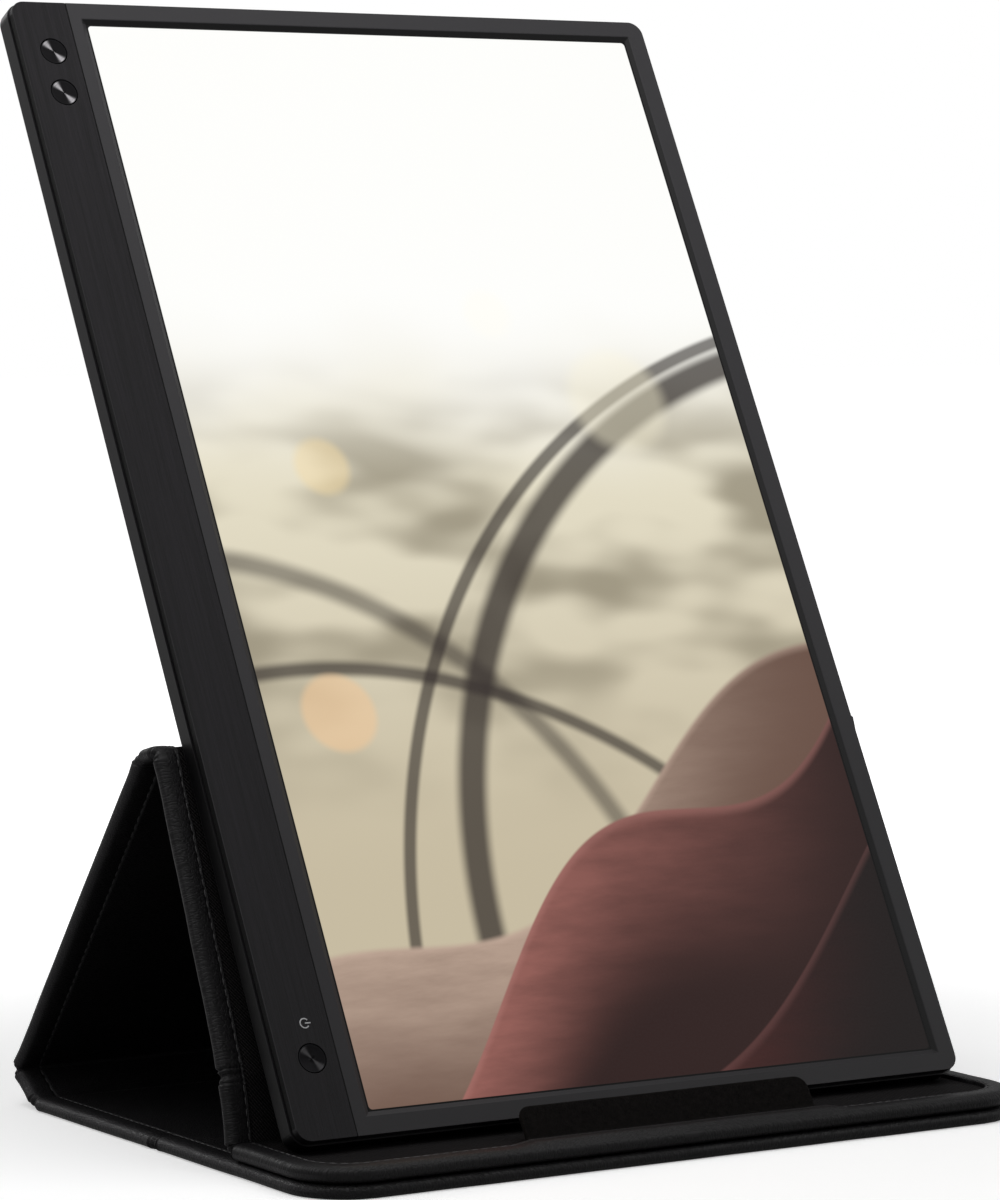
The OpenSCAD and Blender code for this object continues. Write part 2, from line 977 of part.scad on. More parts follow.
rear_shell();
front_frame();
control_strip();
screen_glass();
optical_films();
light_guide();
reflector_sheet();
led_bar();
panel_chassis();
main_board();
shield_can();
key_switches();
usb_socket();
driver_board();
power_board();
board_screws();
driver_ribbon();
power_ribbon();
panel_ribbon();
menu_button_upper();
menu_button_lower();
power_button();
base_leather();
base_board();
base_lining();
front_strip_leather();
front_strip_board();
front_strip_lining();
front_leg_leather();
front_leg_board();
front_leg_lining();
ridge_leather();
ridge_board();
ridge_lining();
rear_leg_leather();
rear_leg_board();
rear_leg_lining();
rear_strip_leather();
rear_strip_board();
rear_strip_lining();
floor_rear_leather();
floor_rear_board();
floor_rear_lining();
floor_front_leather();
floor_front_board();
floor_front_lining();
floor_seam();
rear_seam_lower();
rear_seam_upper();
ridge_seam_rear();
ridge_seam_front();
front_seam_upper();
front_seam_lower();
felt_tab();
base_magnets();
floor_magnets();
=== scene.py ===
import json
import math

import bmesh
import bpy
import numpy as np
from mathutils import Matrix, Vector


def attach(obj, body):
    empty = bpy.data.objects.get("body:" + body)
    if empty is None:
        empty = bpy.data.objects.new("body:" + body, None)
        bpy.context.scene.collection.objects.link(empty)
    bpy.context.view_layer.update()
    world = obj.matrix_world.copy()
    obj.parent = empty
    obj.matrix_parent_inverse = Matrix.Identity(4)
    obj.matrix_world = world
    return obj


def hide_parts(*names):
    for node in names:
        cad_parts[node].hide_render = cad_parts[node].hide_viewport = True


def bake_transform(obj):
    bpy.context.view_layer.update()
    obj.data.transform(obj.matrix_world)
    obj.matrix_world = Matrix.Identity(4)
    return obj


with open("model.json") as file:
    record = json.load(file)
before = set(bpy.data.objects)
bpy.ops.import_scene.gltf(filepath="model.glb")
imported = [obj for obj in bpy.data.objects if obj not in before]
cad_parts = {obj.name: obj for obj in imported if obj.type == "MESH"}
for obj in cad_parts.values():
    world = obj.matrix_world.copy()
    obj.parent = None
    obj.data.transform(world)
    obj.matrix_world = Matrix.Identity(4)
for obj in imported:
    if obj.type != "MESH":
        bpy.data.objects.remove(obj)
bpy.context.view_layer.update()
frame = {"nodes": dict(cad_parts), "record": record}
scene = bpy.context.scene

# ---- the monitor, in millimetres
MM = 0.001                               # one millimetre in metres
LEAN = math.radians(28.4)                # how far the monitor leans back
MIDDLE_Y = 101.751                       # middle of the object's depth in the side view
STAND = (33.1786, 7.37367)               # lower rear edge of the monitor in the side view
BODY_T = 9.0                             # thickness from back to face
SHELL_H = 6.3                            # height of the rear shell's side wall
STRIP_SIDE = -112.5                      # the control strip's outer side
SEAM_X = -94.06                          # middle of the gap between the strip and the frame
SCREEN_LEFT, SCREEN_RIGHT = -88.4, 105.1
SCREEN_LOW, SCREEN_HIGH = 7.4, 351.6
BUTTONS = {"menu_button_upper": (-101.9, 341.6), "menu_button_lower": (-101.9, 327.6),
           "power_button": (-101.9, 23.9)}
BUTTON_R = 4.0
SIGN_AT, SIGN_R, SIGN_LINE = (-101.6, 34.1), 1.35, 0.17   # on and off sign: middle, radius, half a line

# ---- the cover, in millimetres
HALF = 121.0                             # half the cover's width
THICK = 3.4                              # panel with leather, board and lining
GAP = 2.5                                # from a fold's line to the panel's edge
TIP_R = 19.0                             # rounded corners of the base and of the floor flap
BINDING = 7.5                            # width of the turned-over leather
BORDER = 7.3                             # where the binding's cut border wanders
BARE = 8.2                               # where the plain leather begins, past the pressed line
SEWN_AT = 6.3                            # the binding's sewn line, in from the edge
LINING_CUT = 7.0                         # the lining's border, tucked under the binding
LINING_IN = 0.55                         # how deep the lining lies in the panel
UNDER_LINING = 0.45                      # how deep the leather goes down under the lining's border
FOOT_BINDING = 1.2                       # rise of the base's binding over its lining
STITCH_PITCH, STITCH_LENGTH, STITCH_R = 3.1, 2.4, 0.27
STITCH_END = 1.4                         # from a panel's end to its last stitch
SUNK_IN_LEATHER, SUNK_IN_BINDING = 0.22, 0.10   # how deep the stitches lie in each face

TAB_HALF = 49.0                          # half the felt tab's width
TAB_ROOT = (10.9, 8.6)                   # where the tab bends up, in the side view
TAB_SLOPE = 55.0                         # degrees from the base
TAB_LEN = 10.2
TAB_CORNER = 4.0
TAB_SUNK = 0.25                          # how far the tab's foot lies below its fold
FELT_T = 1.2
TAB_STEP = 0.95                          # rise of the base's binding over the tab's foot

# Side view of the cover, from the floor flap's tip round to the base's tip, as (y, z);
# leather lies on the left of this walk, lining on the right
FOLDS = [(0.0, 2.2), (94.0, 2.2), (168.598, 2.2), (181.205, 10.5123), (102.249, 110.242),
         (92.498, 112.457), (54.9452, 26.5022), (50.4, 6.0), (0.0, 6.0)]
PANELS = ["floor_front", "floor_rear", "rear_strip", "rear_leg", "ridge", "front_leg",
          "front_strip", "base"]
RISE = [0.5] * 7 + [FOOT_BINDING]        # rise of each panel's binding over its lining
BODY_OF = {"floor_front": "floor_flap", "floor_rear": "floor"}
SEAMS = ["floor_seam", "rear_seam_lower", "rear_seam_upper", "ridge_seam_rear",
         "ridge_seam_front", "front_seam_upper", "front_seam_lower"]

# How close the meshes' points lie, in millimetres
RIM_REACH = 12.0                         # close stations along each side
TIP_REACH = 22.0                         # close stations at a free end
ALONG_STEP = 2.2
LINING_STEPS = [0.0, 0.6, 1.4, 3.0]
BINDING_MARKS = [1.6, 2.0, 2.6, 3.2, 3.8, 4.4, 5.0, 5.4, 5.7, 5.9, 6.1, 6.3, 6.5, 6.7, 6.9, 7.05,
                 7.2, 7.32, 7.42, 7.5, 7.56, 7.62, 7.75, 7.95, 8.2, 8.6, 9.2, 10.0]

# First number of each kind of unevenness; a panel's or a fold's own number is added
SEED = {"border": 5, "swell": 11, "binding": 40, "rim": 70, "underside": 90, "lining": 130,
        "fold": 200, "fold_lining": 300, "tab_fuzz": 501, "tab_edge": 502, "tab_bow": 503, "stitch": 4}

# ---- the room, in metres
GLOSS_SEEN = 0.25                        # how much of the white room glossy surfaces mirror
ROOM_LIGHT = 0.10                        # what the white room adds to the lamps
SOFTBOXES = [                            # name, place, aimed at, size, watts
    ("overhead", (0.0, -0.25, 1.25), (0, 0, 0.1), (1.5, 1.5), 8),
    ("left side", (-0.75, -0.25, 0.85), (0, 0, 0.12), (0.5, 0.7), 1.6),
    ("right side", (1.3, -0.9, 0.9), (0, 0, 0.12), (0.8, 1.2), 3),
    ("behind", (-0.6, 1.2, 0.9), (0, 0.05, 0.1), (1.4, 0.7), 5),
]
SCREEN_CENTRE = Vector((0.00835, 0.00968, 0.16912))
CAMERA_AWAY = Vector((-0.7456, -1.1731, 0.0765))          # from the screen's middle to the camera
CAMERA_PAN, CAMERA_DIP = math.radians(32.33), math.radians(3.95)
CAMERA_LENS, CAMERA_SHIFT, CAMERA_SENSOR = 140.6, 0.0021, 36

# The monitor's own directions: up its face, out of its face, and the corner they start from
U = Vector((0, math.sin(LEAN), math.cos(LEAN)))
N = Vector((0, -math.cos(LEAN), math.sin(LEAN)))
FOOT = Vector((0, STAND[0] - MIDDLE_Y, STAND[1]))


def on_monitor(x, y, z):
    """A point of the monitor's own frame in the row frame, in metres."""
    return (Vector((x, 0, 0)) + U * y + N * z + FOOT) * MM


# ---- shader helpers
class Nodes:
    """Short calls that add and join the nodes of one shader tree."""

    def __init__(self, tree, output):
        self.tree = tree
        self.tree.nodes.clear()
        self.out = self.tree.nodes.new(output)

    def node(self, kind, **settings):
        n = self.tree.nodes.new("ShaderNode" + kind)
        for key, value in settings.items():
            setattr(n, key, value)
        return n

    def put(self, socket, value):
        if isinstance(value, bpy.types.NodeSocket):
            self.tree.links.new(value, socket)
        elif isinstance(value, (tuple, list)) and len(value) == 3 and socket.type == "RGBA":
            socket.default_value = (*value, 1.0)
        else:
            socket.default_value = value

    def math(self, op, a, b=0.0, clamp=False):
        n = self.node("Math", operation=op, use_clamp=clamp)
        self.put(n.inputs[0], a)
        self.put(n.inputs[1], b)
        return n.outputs[0]

    def times(self, a, b):
        return self.math("MULTIPLY", a, b)

    def plus(self, a, b):
        return self.math("ADD", a, b)

    def less(self, a, b):
        return self.math("SUBTRACT", a, b)

    def size_of(self, a):
        return self.math("ABSOLUTE", a)

    def vec(self, op, a, b=(0, 0, 0)):
        n = self.node("VectorMath", operation=op)
        self.put(n.inputs[0], a)
        self.put(n.inputs["Scale"] if op == "SCALE" else n.inputs[1], b)
        number = op in ("DOT_PRODUCT", "LENGTH", "DISTANCE")
        return n.outputs["Value" if number else "Vector"]

    def split(self, vector):
        n = self.node("SeparateXYZ")
        self.put(n.inputs[0], vector)
        return n.outputs

    def joined(self, x, y, z=0.0):
        n = self.node("CombineXYZ")
        for socket, value in zip(n.inputs, (x, y, z)):
            self.put(socket, value)
        return n.outputs[0]

    def place(self):
        return self.node("TexCoord").outputs["Object"]

    def uv(self):
        return self.node("TexCoord").outputs["UV"]

    def mapped(self, vector, scale, turn=0.0):
        n = self.node("Mapping")
        self.put(n.inputs["Vector"], vector)
        n.inputs["Scale"].default_value = scale
        n.inputs["Rotation"].default_value = (0, 0, turn)
        return n.outputs[0]

    def noise(self, vector, scale, detail=3.0, rough=0.55):
        n = self.node("TexNoise")
        self.put(n.inputs["Vector"], vector)
        n.inputs["Scale"].default_value = scale
        n.inputs["Detail"].default_value = detail
        n.inputs["Roughness"].default_value = rough
        return n.outputs["Fac"]

    def cells(self, vector, scale, feature):
        n = self.node("TexVoronoi", feature=feature)
        self.put(n.inputs["Vector"], vector)
        n.inputs["Scale"].default_value = scale
        return n.outputs["Distance"]

    def remap(self, value, a, b, low, high, smooth=False):
        n = self.node("MapRange", interpolation_type="SMOOTHSTEP" if smooth else "LINEAR")
        self.put(n.inputs["Value"], value)
        for key, v in (("From Min", a), ("From Max", b), ("To Min", low), ("To Max", high)):
            self.put(n.inputs[key], v)
        return n.outputs[0]

    def step(self, value, a, b):
        """0 at a and 1 at b, eased between them."""
        return self.remap(value, a, b, 0.0, 1.0, True)

    def mix(self, factor, a, b):
        n = self.node("Mix", data_type="RGBA")
        self.put(n.inputs["Factor"], factor)
        self.put(n.inputs[6], a)
        self.put(n.inputs[7], b)
        return n.outputs[2]

    def bump(self, height, distance, strength):
        n = self.node("Bump")
        self.put(n.inputs["Height"], height)
        n.inputs["Distance"].default_value = distance
        n.inputs["Strength"].default_value = strength
        return n.outputs[0]

    def choose(self, factor, a, b):
        """Ends the tree in a mix of two shaders."""
        pick = self.node("MixShader")
        self.put(pick.inputs[0], factor)
        self.put(pick.inputs[1], a)
        self.put(pick.inputs[2], b)
        self.put(self.out.inputs["Surface"], pick.outputs[0])

    def looked_at(self):
        """1 for what the camera sees, also through glass, and a share for what gloss mirrors."""
        path = self.node("LightPath")
        straight = self.math("MAXIMUM", path.outputs["Is Camera Ray"], path.outputs["Is Transmission Ray"])
        return self.math("MAXIMUM", straight, self.times(path.outputs["Is Glossy Ray"], GLOSS_SEEN))


class Shader(Nodes):
    """A material with the short calls, and an end for most of them."""

    def __init__(self, name):
        self.mat = bpy.data.materials.new(name)
        self.mat.use_nodes = True
        super().__init__(self.mat.node_tree, "ShaderNodeOutputMaterial")

    def finish(self, color, rough, metallic=0.0, normal=None, **extra):
        b = self.node("BsdfPrincipled")
        self.put(b.inputs["Base Color"], color)
        self.put(b.inputs["Roughness"], rough)
        self.put(b.inputs["Metallic"], metallic)
        if normal is not None:
            self.put(b.inputs["Normal"], normal)
        for key, value in extra.items():
            self.put(b.inputs[key.replace("_", " ")], value)
        self.put(self.out.inputs["Surface"], b.outputs[0])
        return self.mat


def darker(color, share):
    return tuple(c * share for c in color)


def hard_surface(name, color, rough, metallic=0.0, vary=0.12):
    """A hard surface with fine moulded grain and slightly uneven tone."""
    s = Shader(name)
    p = s.place()
    tone = s.noise(p, 14, 3)
    fine = s.noise(p, 900, 2)
    shade = s.mix(s.math("MULTIPLY", tone, vary * 4, clamp=True), color, darker(color, 1 - vary))
    return s.finish(shade, s.remap(tone, 0.3, 0.7, rough - 0.04, rough + 0.05), metallic,
                    s.bump(fine, 0.00004, 0.5))


# ---- the monitor's finishes
def monitor_space(s):
    """Object coordinates turned into the monitor's own frame: x across, y up the face, z out."""
    p = s.vec("SUBTRACT", s.place(), tuple(FOOT * MM))
    x, y, z = (s.vec("DOT_PRODUCT", p, way) for way in ((1, 0, 0), tuple(U), tuple(N)))
    return s.joined(x, y, z), x, y, z


# colour of the painted shade in the gap between the strip and the frame
SEAM_SHADE_BLACK = (0.001, 0.001, 0.001)


def seam_shade(s, x):
    """Mask of the painted shade on the fine gap between the strip and the frame: 1 on the gap, 0 beside it.
    """
    away = s.size_of(s.less(x, SEAM_X * MM))
    return s.remap(away, 0.00012, 0.00034, 1, 0, True)


def brushed_strip():
    """Dark hairline finish: long fine streaks up the strip, with painted light making it a little paler
    towards the top, and painted shade and a painted highlight along its outer side.
    """
    s = Shader("brushed strip")
    p, x, y, _ = monitor_space(s)
    fine = s.noise(s.mapped(p, (1, 0.010, 1)), 3600, 5, 0.75)
    broad = s.noise(s.mapped(p, (1, 0.022, 1)), 640, 4, 0.65)
    streak = s.plus(s.times(fine, 0.6), s.times(broad, 0.4))
    tone = s.remap(streak, 0.38, 0.62, 0, 1)
    low = s.mix(tone, (0.0026, 0.0022, 0.0028), (0.0150, 0.0135, 0.0158))
    high = s.mix(tone, (0.0045, 0.0038, 0.0048), (0.0270, 0.0245, 0.0285))
    # painted light: the strip is made paler towards the top, where the light from above falls more
    color = s.mix(s.remap(y, 0.02, 0.34, 0, 1), low, high)

    def along_side(start, end, most, smooth=False):
        return s.remap(x, (STRIP_SIDE + start) * MM, (STRIP_SIDE + end) * MM, most, 0, smooth)

    # painted shade: a dark band beside the strip's outer side, where the groove shades it
    color = s.mix(along_side(0.15, 1.3, 0.45, True), color, (0.002, 0.002, 0.002))
    # painted highlight: a pale line on the rounded edge of the strip's side
    color = s.mix(along_side(0.0, 0.32, 1), color, (0.052, 0.050, 0.054))
    # painted shade: the strip's side face is made nearly black
    color = s.mix(along_side(0.005, 0.04, 1), color, (0.0010, 0.0010, 0.0011))
    color = s.mix(seam_shade(s, x), color, SEAM_SHADE_BLACK)
    return s.finish(color, s.remap(streak, 0.36, 0.64, 0.36, 0.56), 0.0,
                    s.bump(streak, 0.00016, 0.8), Specular_IOR_Level=0.17)


def band(s, value, start, width, fade=0.1):
    """1 from a start in millimetres over a width, 0 outside it."""
    rise = s.remap(value, start * MM, (start + fade) * MM, 0, 1)
    fall = s.remap(value, (start + width) * MM, (start + width + fade) * MM, 1, 0)
    return s.times(rise, fall)


def shaded_slope(s, x, y, z):
    """1 on the sloped edge above and right of the picture, which faces away from the light."""
    sloped = s.math("MAXIMUM", band(s, y, SCREEN_HIGH, 3), band(s, x, SCREEN_RIGHT, 3))
    sunk = s.remap(z, (BODY_T - 0.16) * MM, (BODY_T - 0.06) * MM, 1, 0)
    return s.times(sloped, sunk)


def painted_edge_highlight(s, z, middle, half):
    """Mask of a painted highlight line at a height of the shell: 1 on the line, falling to 0 at half its
    width.
    """
    away = s.size_of(s.less(z, middle * MM))
    return s.remap(away, half * 0.35 * MM, half * MM, 1, 0, True)


def satin(name, rough, shine, paint):
    """Smooth charcoal plastic with a faint grain; its colour comes from the paint function."""
    s = Shader(name)
    p, x, y, z = monitor_space(s)
    grain = s.noise(p, 1500, 2)
    soft = s.noise(p, 9, 2)
    return s.finish(paint(s, x, y, z), s.remap(soft, 0.3, 0.7, rough - 0.03, rough + 0.04), 0.0,
                    s.bump(grain, 0.00003, 0.4), Specular_IOR_Level=shine)


def frame_paint(s, x, y, z):
    """Painted light makes the frame paler up its height, where the light from above falls more; painted
    shade makes it nearly black on the shaded slopes and in the gap to the strip.
    """
    # painted light: darker low on the frame, paler at the top
    color = s.mix(s.remap(y, 0.0, 0.36, 0, 1), (0.0152, 0.0138, 0.0158), (0.0405, 0.0384, 0.0425))
    color = s.mix(shaded_slope(s, x, y, z), color, (0.0022, 0.0020, 0.0024))
    return s.mix(seam_shade(s, x), color, SEAM_SHADE_BLACK)


def shell_paint(s, x, y, z):
    """Painted shade makes the side darker low down, where it stands over the dark cover, and painted
    highlights draw pale lines along its edges.
    """
    deep, pale = (0.0022, 0.0020, 0.0024), (0.0200, 0.0190, 0.0210)
    # painted shade and dark reflection: the side is darkened low down, where the cover shades it and is
    # mirrored in it
    color = s.mix(s.step(y, 0.110, 0.195), deep, pale)
    # painted highlights: pale lines along the shell's rear edge and front edge
    edges = s.math("MAXIMUM", painted_edge_highlight(s, z, 1.0, 0.30), painted_edge_highlight(s, z, SHELL_H - 0.05, 0.22))
    return s.mix(s.times(edges, 0.6), color, pale)


def spun_button(centre, lit):
    """Dark metal turned in fine rings, with two paler wedges of painted highlight across the cap, where the
    rings would catch the light.
    """
    s = Shader("spun button")
    p = monitor_space(s)[0]
    local = s.vec("SUBTRACT", p, (centre[0] * MM, centre[1] * MM, BODY_T * MM))
    right = s.vec("DOT_PRODUCT", local, (1, 0, 0))
    up = s.vec("DOT_PRODUCT", local, (0, 1, 0))
    radius = s.vec("LENGTH", s.vec("MULTIPLY", local, (1, 1, 0)))
    rings = s.noise(radius, 9000, 3, 0.6)
    angle = s.math("ARCTAN2", up, right)
    # painted highlight: two opposite wedges, as the light would catch the turned rings
    painted_glint = s.size_of(s.math("COSINE", s.less(angle, math.radians(128))))
    painted_glint = s.step(s.math("POWER", painted_glint, 20), 0, 1)
    outward = s.vec("ADD", s.vec("SCALE", (1, 0, 0), right), s.vec("SCALE", tuple(U), up))
    around = s.node("VectorTransform", vector_type="VECTOR", convert_from="OBJECT", convert_to="WORLD")
    s.put(around.inputs[0], s.vec("CROSS_PRODUCT", tuple(N), outward))
    metal = s.mix(painted_glint, (0.009, 0.0086, 0.0094), (lit, lit * 0.97, lit * 1.01))
    metal = s.mix(s.remap(rings, 0.35, 0.65, 0, 0.35), metal, (0.006, 0.006, 0.0065))
    color = s.mix(s.step(radius, (BUTTON_R - 0.3) * MM, BUTTON_R * MM), metal, (0.012, 0.012, 0.013))
    return s.finish(color, s.remap(rings, 0.3, 0.7, 0.26, 0.36), 1.0, s.bump(rings, 0.00003, 0.35),
                    Anisotropic=0.8, Tangent=around.outputs[0])


# ---- the cover's finishes
def leather_look():
    """Black pebbled leather: small cells, creases between them and a slow unevenness."""
    s = Shader("black leather")
    uv = s.uv()
    shifted = s.vec("ADD", uv, s.vec("SCALE", (0.0008, 0.0011, 0), s.noise(uv, 240, 2)))
    crease = s.cells(shifted, 1050, "DISTANCE_TO_EDGE")
    pore = s.cells(shifted, 2300, "F1")
    slow = s.noise(uv, 34, 3)
    grain = s.plus(s.remap(crease, 0.0, 0.16, 0, 0.75, True), s.times(pore, 0.3))
    height = s.plus(s.times(grain, 0.5), s.times(slow, 0.9))
    color = s.mix(s.remap(grain, 0.2, 0.9, 0, 1), (0.0034, 0.0031, 0.0035), (0.0105, 0.0098, 0.0108))
    # the outer edges are rubbed smoother, and painted paler as a painted highlight on the rolled rims
    rubbed_rim_and_sheen = s.step(s.size_of(s.split(uv)[0]), (HALF - 2.0) * MM, (HALF + 1.5) * MM)
    color = s.mix(rubbed_rim_and_sheen, color, (0.024, 0.0225, 0.0245))
    uneven = s.plus(s.times(slow, 0.6), s.times(grain, 0.3))
    rough = s.less(s.remap(uneven, 0.3, 0.75, 0.46, 0.33), s.times(rubbed_rim_and_sheen, 0.07))
    return s.finish(color, rough, 0.0, s.bump(height, 0.00030, 0.6), Specular_IOR_Level=0.22)


TWILL_RIB, TWILL_FLOAT = 0.00074, 0.00115   # spacing of the diagonal ribs and of the floats on them


def twill_look():
    """Woven black twill: diagonal ribs cut into short floats, with loose fibre noise."""
    s = Shader("black twill")
    uv = s.uv()
    turned = s.mapped(uv, (1, 1, 1), math.radians(38))
    over, along_rib, _ = s.split(turned)
    jitter = s.times(s.less(s.noise(uv, 500, 2), 0.5), 0.5)
    rib = s.math("SINE", s.plus(s.times(over, 2 * math.pi / TWILL_RIB), jitter))
    cut = s.math("SINE", s.plus(s.times(along_rib, 2 * math.pi / TWILL_FLOAT), s.times(rib, 0.8)))
    fibre = s.noise(s.mapped(turned, (3, 1, 1)), 3500, 2)
    height = s.plus(s.plus(s.times(rib, 0.45), s.times(cut, 0.16)), s.times(fibre, 0.35))
    color = s.mix(s.remap(height, -0.3, 0.7, 0, 1), (0.0018, 0.0016, 0.0017), (0.0290, 0.0270, 0.0275))
    return s.finish(color, 0.75, 0.0, s.bump(height, 0.0003, 0.9), Specular_IOR_Level=0.04)


def felt_look():
    """Brushed felt: matted short fibres in brown-black, combed up the tab."""
    s = Shader("brushed felt")
    uv = s.uv()
    fibre = s.noise(s.mapped(uv, (1, 0.35, 1)), 3000, 5, 0.8)
    clump = s.noise(uv, 520, 3)
    both = s.plus(s.times(fibre, 0.65), s.times(clump, 0.35))
    color = s.mix(s.remap(both, 0.38, 0.62, 0, 1), (0.0016, 0.0013, 0.0012), (0.0090, 0.0074, 0.0068))
    return s.finish(color, 0.97, 0.0, s.bump(both, 0.0004, 0.9), Specular_IOR_Level=0.05,
                    Sheen_Weight=0.035, Sheen_Roughness=0.5)


def thread_look():
    """Twisted black thread, a little paler than the leather."""
    s = Shader("black thread")
    twist = s.noise(s.place(), 3000, 2)
    color = s.mix(twist, (0.020, 0.019, 0.020), (0.046, 0.043, 0.045))
    return s.finish(color, 0.5, 0.0, s.bump(twist, 0.0001, 0.6))


def board_look():
    """Grey-brown fibre board inside the panels."""
    s = Shader("grey-brown board")
    color = (0.30, 0.23, 0.16)
    fibre = s.noise(s.place(), 700, 4)
    shade = s.mix(s.remap(fibre, 0.3, 0.7, 0, 1), color, darker(color, 0.75))
    return s.finish(shade, 0.85, 0.0, s.bump(fibre, 0.0001, 0.6))


# ---- the lit picture
HOOPS = [                                # middle, radius, half width, softness, strength
    ((-30, 20), 150, 3.2, 2.6, 0.62),
    ((18, -46), 178, 2.2, 1.6, 0.80),
    ((250, 40), 196, 4.6, 2.2, 0.88),
    ((262, 10), 236, 2.0, 1.0, 0.80),
]
LIGHTS_SEEN = [                          # middle, radius, softness, colour, strength
    ((150, 216), 17, 3.5, (1.0, 0.93, 0.70), 0.30),
    ((40, 196), 9, 2.0, (0.90, 0.70, 0.36), 0.45),
    ((112, 246), 8, 2.5, (1.0, 0.98, 0.90), 0.5),
    ((24, 118), 12, 1.6, (0.86, 0.56, 0.30), 0.55),
]
DUNES = [                                # level, swing, length, phase, rise, deep, pale, softness
    (34, 15, 30, 2.2, 0.46, (0.13, 0.07, 0.05), (0.44, 0.32, 0.25), 2.4),
    (-6, 18, 26, 4.3, 0.66, (0.022, 0.007, 0.006), (0.28, 0.105, 0.088), 1.2),
    (-58, 15, 34, 0.9, 0.62, (0.006, 0.003, 0.003), (0.085, 0.019, 0.016), 1.0),
]
HOOP_BROWN = (0.030, 0.021, 0.018)
PICTURE_BORDER, PICTURE_CORNER = 0.45, 1.2   # dark border and its rounded corners


class Picture(Shader):
    """The lit picture's material, measured in millimetres from the picture's lower left corner."""

    def __init__(self):
        super().__init__("lit picture")
        _, x, y, _ = monitor_space(self)
        self.x = self.times(self.less(x, SCREEN_LEFT * MM), 1000.0)
        self.y = self.times(self.less(y, SCREEN_LOW * MM), 1000.0)
        self.flat = self.joined(self.x, self.y)

    def away_from(self, middle):
        return self.vec("DISTANCE", self.flat, (*middle, 0))

    def sky(self):
        """Cream below, white above, with smoky bands between."""
        haze = self.noise(self.flat, 0.011, 2)
        sky = self.mix(self.step(self.y, 60, 225), (0.56, 0.49, 0.35), (0.79, 0.74, 0.58))
        white = self.step(self.plus(self.y, self.times(haze, 50)), 205, 280)
        sky = self.mix(white, sky, (0.98, 0.98, 0.96))
        smoke = self.noise(self.mapped(self.flat, (1, 2.2, 1), 0.35), 0.013, 2)
        smoky = self.times(self.step(self.y, 70, 150), self.step(self.y, 238, 185))
        smoky = self.times(smoky, self.step(smoke, 0.40, 0.62))
        return self.mix(self.times(smoky, 0.72), sky, (0.20, 0.17, 0.11))

    def hoop(self, base, middle, radius, width, soft, strength):
        gap = self.size_of(self.less(self.away_from(middle), radius))
        return self.mix(self.times(self.step(gap, width + soft, width - soft), strength), base, HOOP_BROWN)

    def disc(self, base, middle, radius, soft, color, strength):
        inside = self.step(self.away_from(middle), radius + soft, radius - soft)
        return self.mix(self.times(inside, strength), base, color)

    def dune(self, base, level, swing, length, phase, rise, deep, pale, soft):
        wave = self.times(self.math("SINE", self.plus(self.math("DIVIDE", self.x, length), phase)), swing)
        crest = self.plus(self.plus(wave, level), self.times(self.x, rise))
        under = self.less(crest, self.y)
        sand = self.noise(self.mapped(self.flat, (0.35, 1.6, 1), 0.3 + phase), 0.09, 4, 0.6)
        lit = self.math("MULTIPLY", self.step(under, 60, 0), self.plus(0.45, sand), clamp=True)
        tone = self.mix(self.times(lit, self.step(self.x, 205, 50)), deep, pale)
        crest_light = tuple(min(1, c * 1.4 + 0.04) for c in pale)
        tone = self.mix(self.times(self.step(under, 4.5, 0.8), 0.35), tone, crest_light)
        return self.mix(self.step(under, 0, soft), base, tone)

    def inside_border(self):
        """1 inside the dark border with its rounded corners, 0 on it."""
        def past(value, whole):
            half = whole / 2
            beyond = self.less(self.size_of(self.less(value, half)), half - PICTURE_BORDER - PICTURE_CORNER)
            return self.math("MAXIMUM", beyond, 0)

        qx = past(self.x, SCREEN_RIGHT - SCREEN_LEFT)
        qy = past(self.y, SCREEN_HIGH - SCREEN_LOW)
        out = self.math("SQRT", self.plus(self.times(qx, qx), self.times(qy, qy)))
        return self.step(out, PICTURE_CORNER + 0.08, PICTURE_CORNER - 0.08)


def picture_look():
    """Pale haze over layered dunes in cream and maroon, with tall thin hoops and soft lights."""
    s = Picture()
    view = s.sky()
    for hoop in HOOPS:
        view = s.hoop(view, *hoop)
    for light in LIGHTS_SEEN:
        view = s.disc(view, *light)
    for dune in DUNES:
        view = s.dune(view, *dune)
    grain = s.noise(s.flat, 1.4, 2)
    view = s.mix(0.006, view, s.mix(grain, (0, 0, 0), (1, 1, 1)))
    glow = s.mix(s.inside_border(), (0, 0, 0), view)
    return s.finish((0.002, 0.002, 0.002), 0.30, 0.0, None, Specular_IOR_Level=0.12,
                    Emission_Color=glow, Emission_Strength=1.0)


